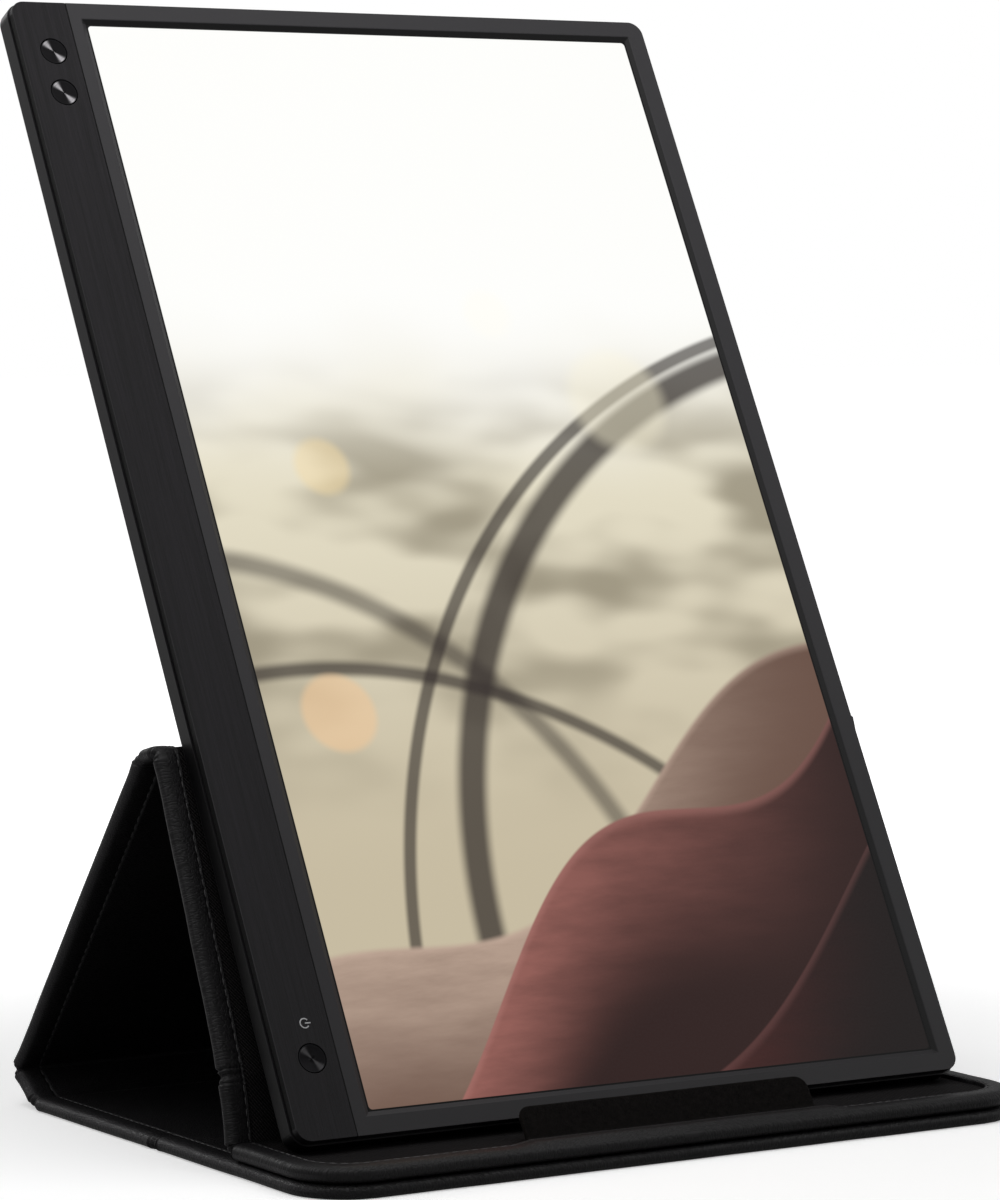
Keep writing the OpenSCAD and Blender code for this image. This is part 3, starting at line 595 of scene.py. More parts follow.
# ---- materials for the CAD nodes
LEATHER = leather_look()
TWILL = twill_look()
FELT = felt_look()
THREAD = thread_look()
LOOKS = {
    "cover_leather": LEATHER,
    "cover_lining": TWILL,
    "felt": FELT,
    "stiffener_board": board_look(),
    "shell_plastic": satin("fine matte shell", 0.33, 0.30, shell_paint),
    "frame_plastic": satin("satin frame", 0.41, 0.28, frame_paint),
    "strip_plastic": brushed_strip(),
    "display_glass": picture_look(),
    "optical_film": hard_surface("diffusing film", (0.82, 0.82, 0.80), 0.6, vary=0.04),
    "light_guide": hard_surface("clear guide", (0.72, 0.80, 0.84), 0.12, vary=0.03),
    "lamp_strip": hard_surface("lamp strip", (0.78, 0.72, 0.45), 0.5),
    "chassis_metal": hard_surface("pressed aluminium", (0.50, 0.51, 0.53), 0.38, 1.0),
    "circuit_board": hard_surface("green solder mask", (0.02, 0.11, 0.05), 0.35, vary=0.25),
    "shield_metal": hard_surface("plated shield", (0.55, 0.56, 0.58), 0.28, 1.0),
    "switch_plastic": hard_surface("switch plastic", (0.04, 0.04, 0.045), 0.5),
    "screw_steel": hard_surface("screw steel", (0.55, 0.55, 0.57), 0.25, 1.0),
    "ribbon": hard_surface("amber ribbon", (0.42, 0.20, 0.04), 0.35, vary=0.2),
    "magnet": hard_surface("plated magnet", (0.60, 0.60, 0.62), 0.2, 1.0),
}

for part in frame["record"]["subparts"]:
    name, slot = part["node"], part["material_slot"]
    if slot == "button_metal":
        # the painted highlight is dim on the low button, which looks away from the light that the two upper
        # ones catch
        look = spun_button(BUTTONS[name], 0.07 if name == "power_button" else 0.42)
    else:
        look = LOOKS[slot]
    mesh = frame["nodes"][name].data
    mesh.materials.clear()
    mesh.materials.append(look)


def crisp(name, width):
    """Gives a CAD node small rounded edges, so that they catch the light."""
    o = frame["nodes"][name]
    weld = o.modifiers.new("weld", "WELD")
    weld.merge_threshold = 1e-6
    flat = o.modifiers.new("flat", "DECIMATE")
    flat.decimate_type = "DISSOLVE"
    flat.angle_limit = math.radians(0.3)
    bevel = o.modifiers.new("edge", "BEVEL")
    bevel.width = width * MM
    bevel.segments = 3
    bevel.limit_method = "ANGLE"
    bevel.angle_limit = math.radians(28)
    o.data.shade_flat()


for name, width in (("rear_shell", 0.26), ("front_frame", 0.24), ("control_strip", 0.24)):
    crisp(name, width)
for name in BUTTONS:
    crisp(name, 0.12)


# ---- helpers for the cover's shapes
def hump(value, middle, width):
    """1 at the middle, falling away smoothly over the width."""
    return np.exp(-((value - middle) / width) ** 2)


def share(value, start, width):
    """0 before the start, then growing to 1 over the width."""
    return np.clip((value - start) / width, 0, 1)


def eased(t):
    return t * t * (3 - 2 * t)


def ripple(a, b, seed):
    """Smooth unevenness between about -1 and 1, from two lengths in millimetres."""
    r = np.random.RandomState(seed)
    total = 0
    for size in (61.0, 37.0, 23.0, 13.0):
        ka, kb, phase = r.uniform(-1, 1) / size * 6.28, r.uniform(-1, 1) / size * 6.28, r.uniform(0, 6.28)
        total = total + np.sin(a * ka + b * kb + phase) * (size / 61.0) ** 0.6
    return total / 2.6


def point_outwards(mesh, merge=False):
    """Turns all faces outwards; a merged mesh also loses its doubles and keeps its creases sharp."""
    bm = bmesh.new()
    bm.from_mesh(mesh)
    if merge:
        bmesh.ops.remove_doubles(bm, verts=bm.verts, dist=2e-6)
        bmesh.ops.dissolve_degenerate(bm, edges=bm.edges, dist=1e-7)
    bmesh.ops.recalc_face_normals(bm, faces=bm.faces)
    if merge:
        for e in bm.edges:
            if len(e.link_faces) == 2 and e.calc_face_angle(0) > math.radians(50):
                e.smooth = False
    bm.to_mesh(mesh)
    bm.free()


def mesh_piece(name, verts, faces, look, uvs=None):
    me = bpy.data.meshes.new(name)
    me.from_pydata(verts.tolist(), [], faces)
    me.validate()
    if uvs is not None:
        layer = me.uv_layers.new(name="cloth")
        loops = np.zeros(len(me.loops), np.int32)
        me.loops.foreach_get("vertex_index", loops)
        layer.data.foreach_set("uv", uvs[loops].astype(np.float32).ravel())
    me.materials.append(look)
    me.shade_smooth()
    o = bpy.data.objects.new(name, me)
    scene.collection.objects.link(o)
    return o


def slab(name, top, bottom, uv_top, uv_bottom, look):
    """A closed piece from two grids of points, [along, across], walled together round their border."""
    n, m = top.shape[:2]
    grid = np.arange(n * m).reshape(n, m)
    low = grid + n * m
    verts = np.concatenate([top.reshape(-1, 3), bottom.reshape(-1, 3)])
    uvs = np.concatenate([uv_top.reshape(-1, 2), uv_bottom.reshape(-1, 2)])
    faces = []
    for g, order in ((grid, slice(None)), (low, slice(None, None, -1))):
        corners = (g[:-1, :-1], g[:-1, 1:], g[1:, 1:], g[1:, :-1])
        quads = np.stack([c.ravel() for c in corners], 1)
        faces.extend(quads[:, order].tolist())
    ring = np.concatenate([grid[0, :-1], grid[:-1, -1], grid[-1, :0:-1], grid[:0:-1, 0]])
    after = np.roll(ring, -1)
    faces.extend(np.stack([after, ring, ring + n * m, after + n * m], 1).tolist())
    o = mesh_piece(name, verts * MM, faces, look, uvs)
    point_outwards(o.data, merge=True)
    return o


def levels(rim, marks, reach, coarse):
    """Distances in from an edge: close together round the rim and at the marks, then wide apart."""
    d = [rim * (1 - math.cos(math.radians(a))) for a in range(0, 91, 15)]
    d += [v for v in marks if v > rim + 0.05]
    while d[-1] + coarse < reach:
        d.append(d[-1] + coarse)
    return [v for v in d if v < reach - 0.01]


def warp(x, s, tip, half, r, inset):
    """Bends a square grid so that the two corners at the tip become round."""
    if tip is None:
        return x, s
    start = tip == 0
    ds = (s - inset) if start else (tip - inset - s)
    dx = half - inset - np.abs(x)
    r = r - inset
    a, b = r - dx, r - ds
    corner = (a > 0) & (b > 0)
    big = np.maximum(np.maximum(a, b), 1e-9)
    small = np.minimum(a, b)
    eighth = (math.pi / 4) * small / big
    phi = np.where(a >= b, eighth, math.pi / 2 - eighth)
    xa, sb = big * np.cos(phi), big * np.sin(phi)
    round_x = np.where(corner, np.sign(x) * (half - inset - r + xa), x)
    away = r - sb + inset
    round_s = np.where(corner, away if start else tip - away, s)
    return round_x, round_s


class Walk:
    """A straight stretch of the cover's side view: one panel, from fold to fold."""

    def __init__(self, k):
        self.start, end = np.array(FOLDS[k]), np.array(FOLDS[k + 1])
        self.length = float(np.linalg.norm(end - self.start))
        self.e = (end - self.start) / self.length
        self.normal = np.array([-self.e[1], self.e[0]])
        self.turn = math.atan2(self.e[1], self.e[0])
        self.low, self.high = GAP, self.length - GAP
        self.tip = {0: 0.0, len(PANELS) - 1: self.length}.get(k)
        self.steps = max(4, int((self.high - self.low) / ALONG_STEP))

    def at(self, s):
        s = np.asarray(s, float)
        point = self.start + s[..., None] * self.e
        return point, np.broadcast_to(self.normal, point.shape)

    def from_tip(self, s):
        return s if self.tip == 0 else self.tip - s

    def stations(self, near, start, count):
        """Even steps along the panel, and at a free end the given distances in from it."""
        if self.tip is None:
            return np.linspace(self.low, self.high, self.steps)
        if self.tip == 0:
            return np.array(near + list(np.linspace(start, self.high, count)))
        even = list(np.linspace(self.low, self.tip - start, count))
        return np.array(even + [self.tip - d for d in near[::-1]])


class Bend:
    """The arc that joins two panels at a fold."""

    def __init__(self, k):
        a, b = WALKS[k - 1], WALKS[k]
        self.start = a.start + a.e * (a.length - GAP)
        self.n0 = a.normal
        self.e0 = a.e
        self.theta = (b.turn - a.turn + math.pi) % (2 * math.pi) - math.pi
        self.flat = abs(self.theta) < 0.02
        self.radius = 0 if self.flat else GAP / math.tan(abs(self.theta) / 2)
        self.length = 2 * GAP if self.flat else self.radius * abs(self.theta)
        self.side = 1 if self.theta > 0 else -1
        self.sharpness = 0 if self.flat else min(1, abs(self.theta) / 1.2)

    def at(self, s):
        s = np.asarray(s, float)
        if self.flat:
            return self.start + s[..., None] * self.e0, np.broadcast_to(self.n0, s.shape + (2,))
        phi = self.theta * s / self.length
        c, w = np.cos(phi), np.sin(phi)
        n = np.stack([c * self.n0[0] - w * self.n0[1], w * self.n0[0] + c * self.n0[1]], -1)
        centre = self.start + self.side * self.radius * self.n0
        return centre - self.side * self.radius * n, n


WALKS = [Walk(k) for k in range(len(PANELS))]
BENDS = {k: Bend(k) for k in range(1, len(PANELS))}
CHAIN_START = np.cumsum([0] + [w.length for w in WALKS])     # each panel's place along the opened cover
RIM_STATIONS = levels(THICK / 2 + 0.3, BINDING_MARKS, RIM_REACH, 3.0)


def across(half, near, reach, count):
    """Stations across the cover: the given distances in from each side, even steps between."""
    left = [-half + d for d in near]
    even = list(np.linspace(-half + reach, half - reach, count))
    return np.array(left + even + [-x for x in left[::-1]])


LEATHER_ACROSS = across(HALF, RIM_STATIONS, RIM_REACH, 38)
LINING_ACROSS = across(HALF - LINING_CUT, LINING_STEPS, 6, 44)


def round_edge(d, r):
    """Height of a quarter round of radius r at a distance d from the edge."""
    return np.sqrt(np.clip(r * r - np.clip(r - d, 0, r) ** 2, 0, None))


def leather_side(d, rise, soft):
    """Height of the leather face at distance d from the edge: rolled rim, crowned binding, pressed line."""
    rim = -rise / 2 + round_edge(d, (THICK + rise) / 2)
    crown = 0.16 * np.sin(share(d, 1.2, 6.3) * math.pi)
    line = 0.34 * hump(d, BINDING, 0.42)
    return rim + crown - line + soft


def binding_side(d, rise, soft):
    """Height of the other face: rolled rim, binding with its sewn line, and the drop to the lining."""
    rim = -rise / 2 - round_edge(d, (THICK + rise) / 2)
    crown = 0.14 * np.sin(share(d, 1.2, 5.0) * math.pi)
    line = 0.22 * hump(d, SEWN_AT, 0.28)
    t = share(d, LINING_CUT, BINDING - LINING_CUT)
    drop = (rise + UNDER_LINING) * np.where(d > BINDING, 1.0, 1 - np.sqrt(np.clip(1 - t ** 2, 0, 1)))
    return rim - crown + line + drop + soft * (d < LINING_CUT)


def over_tab(x, d):
    """How far the base's front binding steps up over the foot of the felt tab."""
    reach = np.clip((TAB_HALF + 5.5 - np.abs(x)) / 4.5, 0, 1)
    return TAB_STEP * eased(reach) * eased(share(d, 1.0, 2.4)) * (d < 7.42)


def place_points(path, x, s, z):
    """Points at x across, s along a walk or bend and z out of it, in millimetres of the row frame."""
    point, normal = path.at(s)
    yz = point + normal * z[..., None]
    return np.stack([x, yz[..., 0] - MIDDLE_Y, yz[..., 1]], -1)


def to_row(point):
    """A point of the side view in the row frame, in metres."""
    return (0, (point[0] - MIDDLE_Y) * MM, point[1] * MM)


def uv_of(x, s, offset=0.0, wrap=0.0):
    return np.stack([(x + wrap) * MM, (s + offset) * MM], -1)


def wrapped(d, x):
    """How far the grain is carried on round the rolled edge."""
    return np.where(d < 3, (3 - d) * 1.2, 0) * np.sign(x)


OTHER_FACE = 400                         # keeps the grain of a piece's two faces apart, in millimetres


def leather_sheet(name, top, bottom, x, s, offset, wrap):
    """Leather between its two faces, with the grain carried on round the rolled edges."""
    return slab(name + "_skin", top, bottom, uv_of(x, s, offset, wrap),
                uv_of(x, s, offset + OTHER_FACE, -wrap), LEATHER)


def lining_sheet(name, path, x, s, offset, pillow):
    """Lining that stands out by the pillow from a smooth hidden face."""
    outer = place_points(path, x, s, -THICK / 2 - pillow)
    inner = place_points(path, x, s, np.full_like(x, -THICK / 2 + LINING_IN))
    uv = uv_of(x, s, offset)
    return slab(name + "_cloth", inner, outer, uv, uv, TWILL)


def wobble(s, seed):
    """How far a binding's inner border wanders along its length."""
    return 0.34 * ripple(s * 2.2, s * 0.9, seed) + 0.13 * np.sin(s * 2.1 + seed)


# ---- panels
def panel_leather(k):
    """A panel's leather with its turned-over edges, from the board's face to the binding's border."""
    name, walk, rise = PANELS[k], WALKS[k], RISE[k]
    tip = walk.tip
    near = levels((THICK + rise) / 2, BINDING_MARKS, TIP_REACH, 1.5)
    count = max(4, int((tip - TIP_REACH - GAP) / ALONG_STEP)) if tip else walk.steps
    S, X = np.meshgrid(walk.stations(near, TIP_REACH, count), LEATHER_ACROSS, indexing="ij")
    from_side = HALF - np.abs(X)
    d = from_side if tip is None else np.minimum(from_side, walk.from_tip(S))
    at_side = from_side <= d + 1e-6
    WX, WS = warp(X, S, tip, HALF, TIP_R, 0.0)

    inner = share(d, BARE, 6)
    swell = 0.22 * ripple(WX, WS, SEED["swell"] + k) * inner
    if name == "floor_front":
        # the leather bunches up beside the front leg's foot, where the folded base presses on it
        bunch = hump(np.abs(WX), 107, 9) * hump(WS, 77, 10)
        swell = swell + 1.1 * bunch * np.sin(WS * 0.40 - np.abs(WX) * 0.46) * inner
    on_binding = np.clip(1 - np.abs(d - 4) / 4, 0, 1)
    swell = swell + 0.06 * ripple(WX * 2, WS * 2, SEED["binding"] + k) * on_binding
    top = place_points(walk, WX, WS, leather_side(d, rise, swell))

    under = binding_side(d, rise, -0.06 * ripple(WX * 2, WS * 2, SEED["underside"] + k))
    if name == "base":
        from_front = walk.from_tip(WS)
        under = under - over_tab(WX, from_front) * (from_front < RIM_REACH)
    border = wobble(WS if tip is None else WS + WX, SEED["border"] + k) * hump(d, BORDER, 0.8)
    bottom = place_points(walk, WX - np.sign(WX) * border * at_side, WS, under)

    # the sides pull in unevenly, and stand out a little beside each fold
    ends = hump(WS, walk.low, 3.0) + hump(WS, walk.high, 3.0)
    uneven = 0.12 * ripple(WS * 1.3, WX * 1.3, SEED["rim"] + k)
    pull = hump(d, 0, 1.5) * (uneven - 0.35 * ends * (1 if tip is None else 0.5))
    for face in (top, bottom):
        face[..., 0] -= np.sign(X) * pull * at_side

    leather = leather_sheet(name, top, bottom, WX, WS, CHAIN_START[k], wrapped(d, X))
    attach(leather, BODY_OF.get(name, name))
    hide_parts(name + "_leather")


def panel_lining(k):
    """A panel's woven lining, tucked under the binding's border and slightly pillowed."""
    name, walk = PANELS[k], WALKS[k]
    tip, half = walk.tip, HALF - LINING_CUT
    s = walk.stations([LINING_CUT + d for d in LINING_STEPS], LINING_CUT + 5, walk.steps)
    S, X = np.meshgrid(s, LINING_ACROSS, indexing="ij")
    WX, WS = warp(X, S, tip, HALF, TIP_R, LINING_CUT)
    d = half - np.abs(X)
    if tip is not None:
        d = np.minimum(d, walk.from_tip(S) - LINING_CUT)
    pillow = 0.14 * (1 - np.exp(-d / 2.5)) + 0.10 * ripple(WX, WS, SEED["lining"] + k) * share(d, 0, 6)
    cloth = lining_sheet(name, walk, WX, WS, CHAIN_START[k], pillow)
    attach(cloth, BODY_OF.get(name, name))
    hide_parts(name + "_lining")


# ---- folds
FOLD_STATIONS = np.linspace(0, 1, 25)    # share of the way round the fold


def fold_leather(k):
    """The bare leather round a fold, puckered at its edges and swollen on its outer side."""
    bend = BENDS[k]
    T, X = np.meshgrid(FOLD_STATIONS, LEATHER_ACROSS, indexing="ij")
    S = T * bend.length
    d = HALF - np.abs(X)
    rise = RISE[k - 1] + (RISE[k] - RISE[k - 1]) * eased(T)
    middle = hump(T, 0.5, 0.17)
    tuck = hump(T, 0.14, 0.06) + 0.6 * hump(T, 0.88, 0.06)
    inside_ends = np.clip(np.minimum(T, 1 - T) / 0.06, 0, 1)
    sink = (0.38 * middle + 0.22 * tuck * inside_ends) * np.clip((BARE - d) / 1.2, 0, 1)
    swell = 0.55 * middle * bend.sharpness * share(d, 1, 4)
    swell = swell + 0.05 * ripple(X * 2.2, S * 2, SEED["fold"] + k) * inside_ends
    leather_out = bend.side < 0
    top_z = leather_side(d, rise, 0) - sink * (1 if leather_out else 0.6)
    low_z = binding_side(d, rise, 0) + sink * (0.6 if leather_out else 1)
    if leather_out:
        top_z = top_z + swell
    else:
        low_z = low_z - swell
    top = place_points(bend, X, S, top_z)
    bottom = place_points(bend, X, S, low_z)
    pull = hump(d, 0, 1.6) * ((0.85 * middle + 0.35 * tuck) * inside_ends - 0.35 * (1 - inside_ends))
    for face in (top, bottom):
        face[..., 0] -= np.sign(X) * pull
    return leather_sheet(SEAMS[k - 1], top, bottom, X, S, CHAIN_START[k] - GAP, wrapped(d, X))


def fold_lining(k):
    """The lining over a fold, pushed out where it lies on the outer side."""
    bend = BENDS[k]
    T, X = np.meshgrid(FOLD_STATIONS, LINING_ACROSS, indexing="ij")
    S = T * bend.length
    pillow = 0.14 * (1 - np.exp(-(HALF - LINING_CUT - np.abs(X)) / 2.5))
    if bend.side > 0:
        pillow = pillow + 0.55 * hump(T, 0.5, 0.2) * bend.sharpness
        inside_ends = np.clip(np.minimum(T, 1 - T) / 0.1, 0, 1)
        pillow = pillow + 0.10 * ripple(X * 2.4, S, SEED["fold_lining"] + k) * inside_ends
    return lining_sheet(SEAMS[k - 1], bend, X, S, CHAIN_START[k] - GAP, pillow)


def fold_pieces(k):
    """Leather and lining of one fold, bent between the panels before and after it."""
    bend = BENDS[k]
    skin, cloth = fold_leather(k), fold_lining(k)
    if bend.flat:
        start, end = bend.at(0.0)[0] + bend.e0 * 0.6, bend.at(bend.length)[0] - bend.e0 * 0.6
    else:
        inner_z = bend.side * (THICK / 2 + 0.05)
        (p0, n0), (p1, n1) = bend.at(0.0), bend.at(bend.length)
        start, end = p0 + n0 * inner_z, p1 + n1 * inner_z
    for piece in (skin, cloth):
        to_row(start)
        to_row(end)
        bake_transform(piece)
    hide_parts(SEAMS[k - 1])


for k in range(len(PANELS)):
    panel_leather(k)
    panel_lining(k)
for k in BENDS:
    fold_pieces(k)


# ---- stitches
def stitch_tree():
    """Geometry nodes that lay short rounded threads along every line of the piece they are on."""
    tree = bpy.data.node_groups.new("stitches", "GeometryNodeTree")
    face = tree.interface
    face.new_socket("Geometry", in_out="INPUT", socket_type="NodeSocketGeometry")
    wanted = {"Pitch": STITCH_PITCH, "Thread length": STITCH_LENGTH, "Thread radius": STITCH_R}
    sizes = {}
    for name, value in wanted.items():
        socket = face.new_socket(name, in_out="INPUT", socket_type="NodeSocketFloat")
        socket.default_value = value * MM
        sizes[socket.identifier] = value * MM
    face.new_socket("Geometry", in_out="OUTPUT", socket_type="NodeSocketGeometry")

    def add(kind, **settings):
        n = tree.nodes.new(kind)
        for key, value in settings.items():
            setattr(n, key, value)
        return n

    link = tree.links.new
    inn, out = add("NodeGroupInput"), add("NodeGroupOutput")
    curve = add("GeometryNodeMeshToCurve")
    link(inn.outputs["Geometry"], curve.inputs["Mesh"])
    spaced = add("GeometryNodeResampleCurve", mode="LENGTH")
    link(curve.outputs["Curve"], spaced.inputs["Curve"])
    link(inn.outputs["Pitch"], spaced.inputs["Length"])

    # one thread: a ball stretched along Z
    ball = add("GeometryNodeMeshUVSphere")
    for key, value in (("Segments", 8), ("Rings", 6), ("Radius", 1.0)):
        ball.inputs[key].default_value = value
    half = add("ShaderNodeMath", operation="MULTIPLY")
    half.inputs[1].default_value = 0.5
    link(inn.outputs["Thread length"], half.inputs[0])
    size = add("ShaderNodeCombineXYZ")
    link(inn.outputs["Thread radius"], size.inputs[0])
    link(inn.outputs["Thread radius"], size.inputs[1])
    link(half.outputs[0], size.inputs[2])
    thread = add("GeometryNodeTransform")
    link(ball.outputs["Mesh"], thread.inputs["Geometry"])
    link(size.outputs[0], thread.inputs["Scale"])

    # a thread on each point, turned along the line and slightly uneven in size
    tangent = add("GeometryNodeInputTangent")
    align = add("FunctionNodeAlignRotationToVector", axis="Z")
    link(tangent.outputs[0], align.inputs["Vector"])
    vary = add("FunctionNodeRandomValue", data_type="FLOAT")
    vary.inputs[2].default_value, vary.inputs[3].default_value = 0.86, 1.0
    vary.inputs["Seed"].default_value = SEED["stitch"]
    put = add("GeometryNodeInstanceOnPoints")
    link(spaced.outputs["Curve"], put.inputs["Points"])
    link(thread.outputs["Geometry"], put.inputs["Instance"])
    link(align.outputs["Rotation"], put.inputs["Rotation"])
    link(vary.outputs[1], put.inputs["Scale"])

    real = add("GeometryNodeRealizeInstances")
    link(put.outputs["Instances"], real.inputs["Geometry"])
    smooth = add("GeometryNodeSetShadeSmooth")
    link(real.outputs["Geometry"], smooth.inputs["Geometry"])
    paint = add("GeometryNodeSetMaterial")
    paint.inputs["Material"].default_value = THREAD
    link(smooth.outputs["Geometry"], paint.inputs["Geometry"])
    link(paint.outputs["Geometry"], out.inputs["Geometry"])
    return tree, sizes


STITCHES, STITCH_SIZES = stitch_tree()


def sew(name, lines, body):
    """Stitches along lines of points, given in metres, that ride on a body."""
    verts, edges = [], []
    for line in lines:
        first = len(verts)
        verts += [tuple(p) for p in line]
        edges += [(first + i, first + i + 1) for i in range(len(line) - 1)]
    me = bpy.data.meshes.new(name + "_lines")
    me.from_pydata(verts, edges, [])
    o = bpy.data.objects.new(name + "_lines", me)
    scene.collection.objects.link(o)
    mod = o.modifiers.new("stitches", "NODES")
    mod.node_group = STITCHES
    for identifier, value in STITCH_SIZES.items():
        mod[identifier] = value
    bpy.context.view_layer.update()
    graph = bpy.context.evaluated_depsgraph_get()
    solid = bpy.data.meshes.new_from_object(o.evaluated_get(graph))
    bpy.data.objects.remove(o)
    piece = bpy.data.objects.new(name, solid)
    scene.collection.objects.link(piece)
    if not solid.materials:
        solid.materials.append(THREAD)
    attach(piece, body)


def side_lines(k, inset, seed):
    """Across and along positions of a sewn line down each side of a panel between two folds."""
    walk = WALKS[k]
    s = np.linspace(walk.low + STITCH_END, walk.high - STITCH_END, max(3, int(walk.length / 2)))
    for side in (-1, 1):
        x = np.full_like(s, side * (HALF - inset))
        if seed is not None:
            x = x - side * wobble(s, seed) * hump(inset, BORDER, 0.8)
        yield x, s


def round_line(k, inset):
    """Across and along positions of a sewn line round a panel with a free end."""
    walk = WALKS[k]
    far = walk.high - STITCH_END if walk.tip == 0 else walk.low + STITCH_END
    near, sign = (inset, 1) if walk.tip == 0 else (walk.length - inset, -1)
    r, edge = TIP_R - inset, HALF - inset
    side_s = np.linspace(far, near + sign * r, 40)
    arc = np.linspace(0, math.pi / 2, 10)[1:-1]
    front = np.linspace(-(HALF - TIP_R), HALF - TIP_R, 80)
    x = [np.full_like(side_s, -edge), -(edge - r) - r * np.cos(arc), front,
         (edge - r) + r * np.sin(arc), np.full_like(side_s, edge)]
    s = [side_s, near + sign * (r - r * np.sin(arc)), np.full_like(front, near),
         near + sign * (r - r * np.cos(arc)), side_s[::-1]]
    return np.concatenate(x), np.concatenate(s)


def stitch_lines(k):
    """The two sewn lines of a panel: along the pressed line on the leather, and on the binding."""
    walk = WALKS[k]
    on_leather = (BINDING, THICK / 2 - SUNK_IN_LEATHER, None)
    on_binding = (SEWN_AT, SUNK_IN_BINDING - THICK / 2 - RISE[k], SEED["border"] + k)
    lines = []
    for inset, height, seed in (on_leather, on_binding):
        places = side_lines(k, inset, seed) if walk.tip is None else [round_line(k, inset)]
        lines += [place_points(walk, x, s, np.full_like(s, height)) * MM for x, s in places]
    return lines


sewn = {}
for k, name in enumerate(PANELS):
    sewn.setdefault(BODY_OF.get(name, name), []).extend(stitch_lines(k))
for body, lines in sewn.items():
    sew(body + "_stitches", lines, body)


# ---- felt tab
class TabWalk:
    """Side view of the felt: flat on the base under the binding, round a small bend, then up."""
    flat, radius = 3.6, 2.2

    def __init__(self):
        self.turn = math.radians(TAB_SLOPE)
        bend_rise = self.radius * (1 - math.cos(self.turn)) - TAB_SUNK
        bend_y = TAB_ROOT[0] + bend_rise / math.tan(self.turn)
        self.centre = np.array([bend_y - self.radius * math.sin(self.turn),
                                TAB_ROOT[1] - TAB_SUNK + self.radius])
        self.bent = self.flat + self.radius * self.turn
        self.length = self.bent + TAB_LEN - math.hypot(bend_y - TAB_ROOT[0], bend_rise)

    def at(self, s):
        s = np.asarray(s, float)
        phi = np.clip((s - self.flat) / (self.bent - self.flat), 0, 1) * self.turn
        normal = np.stack([-np.sin(phi), np.cos(phi)], -1)
        along = np.stack([np.cos(phi), np.sin(phi)], -1)
        extra = np.minimum(s - self.flat, 0) + np.maximum(s - self.bent, 0)
        return self.centre - self.radius * normal + extra[..., None] * along, normal


def felt_piece():
    """The felt tab: a soft sheet with rounded upper corners, sewn under the base's binding."""
    walk = TabWalk()
    near = [0, 0.04, 0.12, 0.26, 0.44, 0.6, 1.0, 1.6, 2.4, 3.2, 4.0]
    x = across(TAB_HALF, near, 5, 70)
    s = np.concatenate([np.linspace(0, walk.flat, 5), np.linspace(walk.flat + 0.3, walk.bent, 7),
                        np.linspace(walk.bent + 0.6, walk.length - 4.4, 7),
                        [walk.length - d for d in near[::-1]]])
    S, X = np.meshgrid(s, x, indexing="ij")
    WX, WS = warp(X, S, walk.length, TAB_HALF, TAB_CORNER, 0.0)
    d = np.minimum(TAB_HALF - np.abs(X), walk.length - S)
    z = round_edge(d, FELT_T / 2)
    fuzz = 0.05 * ripple(WX * 5, WS * 5, SEED["tab_fuzz"]) + 0.22 * ripple(WX * 0.8, WS, SEED["tab_bow"])
    fuzz = fuzz * share(WS, walk.bent, 4)
    ragged = WX + 0.12 * ripple(WS * 3, WX * 3, SEED["tab_edge"]) * (d < 1)
    uv = uv_of(WX, WS)
    o = slab("felt_tab_cloth", place_points(walk, ragged, WS, fuzz + z),
             place_points(walk, ragged, WS, fuzz - z), uv, uv, FELT)
    start, end = (to_row(walk.at(at)[0]) for at in (walk.flat - 0.3, walk.bent + 0.3))
    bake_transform(o)
    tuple(start)
    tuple(end)
    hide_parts("felt_tab")


felt_piece()


# ---- on and off sign
def ribbon(line, low, high, verts, faces):
    """Adds a flat printed stroke along a line on the monitor's face."""
    first = len(verts)
    for i, (x, y) in enumerate(line):
        t = np.array(line[min(i + 1, len(line) - 1)]) - np.array(line[max(i - 1, 0)])
        t = t / np.linalg.norm(t)
        for side in (-SIGN_LINE, SIGN_LINE):
            for z in (low, high):
                verts.append(tuple(on_monitor(x - t[1] * side, y + t[0] * side, z)))
    for i in range(len(line) - 1):
        a, b = first + 4 * i, first + 4 * i + 4
        for c, e in ((1, 3), (3, 2), (2, 0), (0, 1)):
            faces.append([a + c, a + e, b + e, b + c])
    last = first + 4 * (len(line) - 1)
    faces.append([first, first + 2, first + 3, first + 1])
    faces.append([last, last + 1, last + 3, last + 2])


def power_symbol():
    """The generic on and off sign, printed pale grey beside the power button."""
    (cx, cy), r = SIGN_AT, SIGN_R
    look = Shader("pale print").finish((0.55, 0.55, 0.56), 0.5)
    verts, faces = [], []
    arc = [(cx + r * math.cos(t), cy + r * math.sin(t)) for t in np.radians(np.linspace(38, 322, 30))]
    bar = [(cx + 0.15, cy), (cx + 0.9, cy), (cx + 1.9, cy)]
    for line in (arc, bar):
        ribbon(line, BODY_T + 0.01, BODY_T + 0.03, verts, faces)
    o = mesh_piece("power_symbol", np.array(verts), faces, look)
    point_outwards(o.data)
    o.data.shade_flat()
    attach(o, "monitor")


power_symbol()


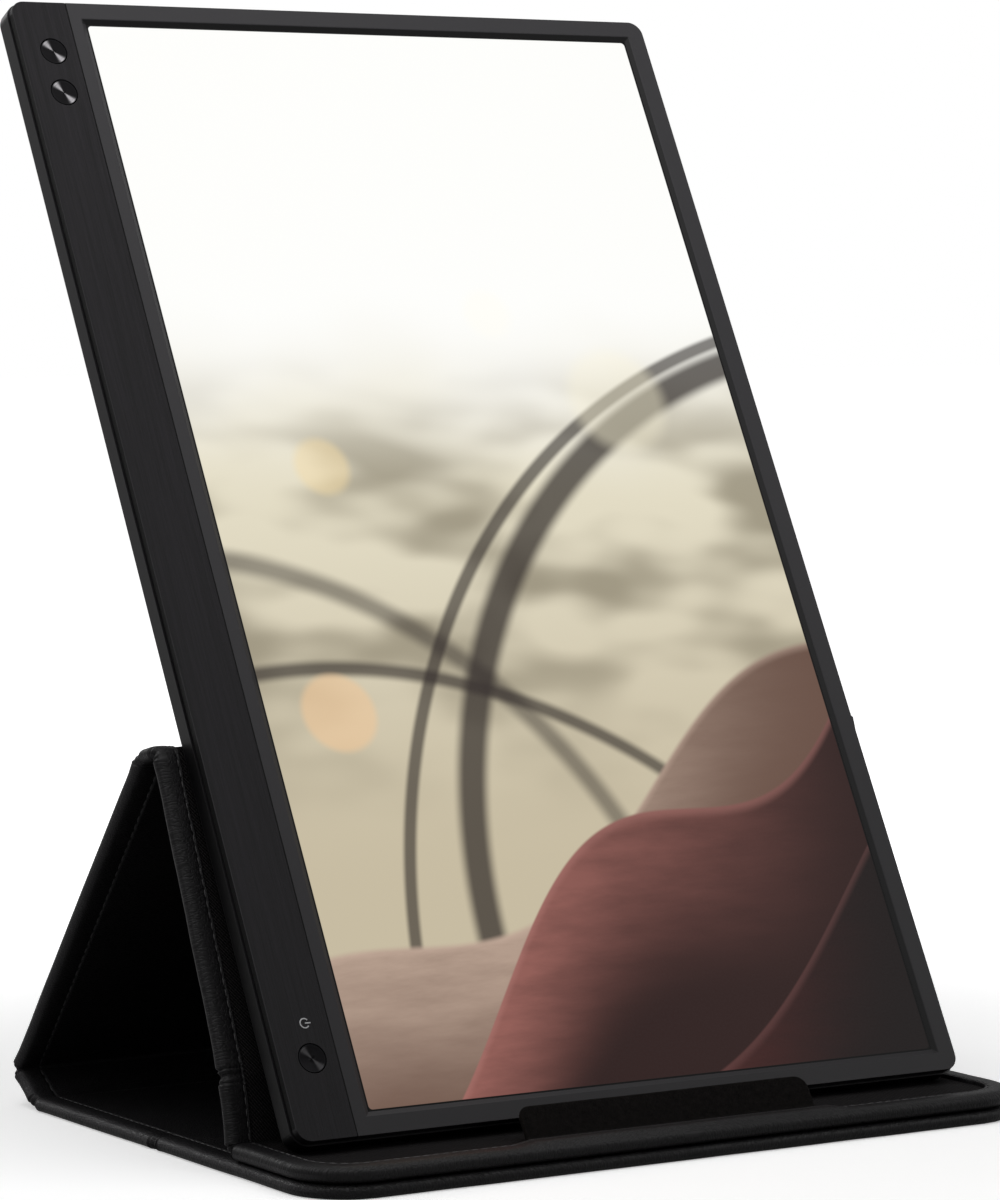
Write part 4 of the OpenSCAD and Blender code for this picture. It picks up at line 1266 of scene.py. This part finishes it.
# ---- floor, light and camera
def floor():
    """A pale floor that keeps the object's shadow and turns pure white away from it."""
    me = bpy.data.meshes.new("floor")
    me.from_pydata([(-9, -9, 0), (9, -9, 0), (9, 9, 0), (-9, 9, 0)], [], [(0, 1, 2, 3)])
    o = bpy.data.objects.new("floor", me)
    scene.collection.objects.link(o)
    s = Shader("pale floor")
    p = s.place()
    lit = s.node("BsdfDiffuse")
    s.put(lit.inputs["Color"], s.mix(s.noise(p, 3, 2), (0.90, 0.90, 0.90), (0.93, 0.93, 0.93)))
    glow = s.node("Emission")
    s.put(glow.inputs["Strength"], s.remap(s.vec("LENGTH", p), 0.16, 0.60, 0.40, 1.0, True))
    white = s.node("AddShader")
    s.put(white.inputs[0], lit.outputs[0])
    s.put(white.inputs[1], glow.outputs[0])
    dull = s.node("BsdfDiffuse")
    s.put(dull.inputs["Color"], (0.25, 0.25, 0.25))
    s.choose(s.looked_at(), dull.outputs[0], white.outputs[0])
    me.materials.append(s.mat)


def softbox(name, place, target, size, watts):
    light = bpy.data.lights.new(name, "AREA")
    light.shape = "RECTANGLE"
    light.size, light.size_y = size
    light.energy = watts
    o = bpy.data.objects.new(name, light)
    scene.collection.objects.link(o)
    o.location = place
    o.rotation_euler = (Vector(target) - Vector(place)).to_track_quat("-Z", "Y").to_euler()


def white_room():
    """Pure white where the camera looks past the object, and a faint even light on it."""
    world = bpy.data.worlds.new("white room")
    scene.world = world
    world.use_nodes = True
    s = Nodes(world.node_tree, "ShaderNodeOutputWorld")
    seen, light = s.node("Background"), s.node("Background")
    for background, strength in ((seen, 1.0), (light, ROOM_LIGHT)):
        s.put(background.inputs["Color"], (1, 1, 1))
        s.put(background.inputs["Strength"], strength)
    s.choose(s.looked_at(), light.outputs[0], seen.outputs[0])


def camera():
    """The photo's viewpoint."""
    lens = bpy.data.cameras.new("camera")
    lens.lens, lens.shift_x, lens.sensor_width = CAMERA_LENS, CAMERA_SHIFT, CAMERA_SENSOR
    lens.clip_end = 50
    view = bpy.data.objects.new("camera", lens)
    scene.collection.objects.link(view)
    scene.camera = view
    view.location = SCREEN_CENTRE + CAMERA_AWAY
    look = Vector((math.sin(CAMERA_PAN) * math.cos(CAMERA_DIP),
                   math.cos(CAMERA_PAN) * math.cos(CAMERA_DIP), -math.sin(CAMERA_DIP)))
    view.rotation_euler = look.to_track_quat("-Z", "Y").to_euler()


floor()
for box in SOFTBOXES:
    softbox(*box)
white_room()
camera()
scene.view_settings.view_transform = "Standard"
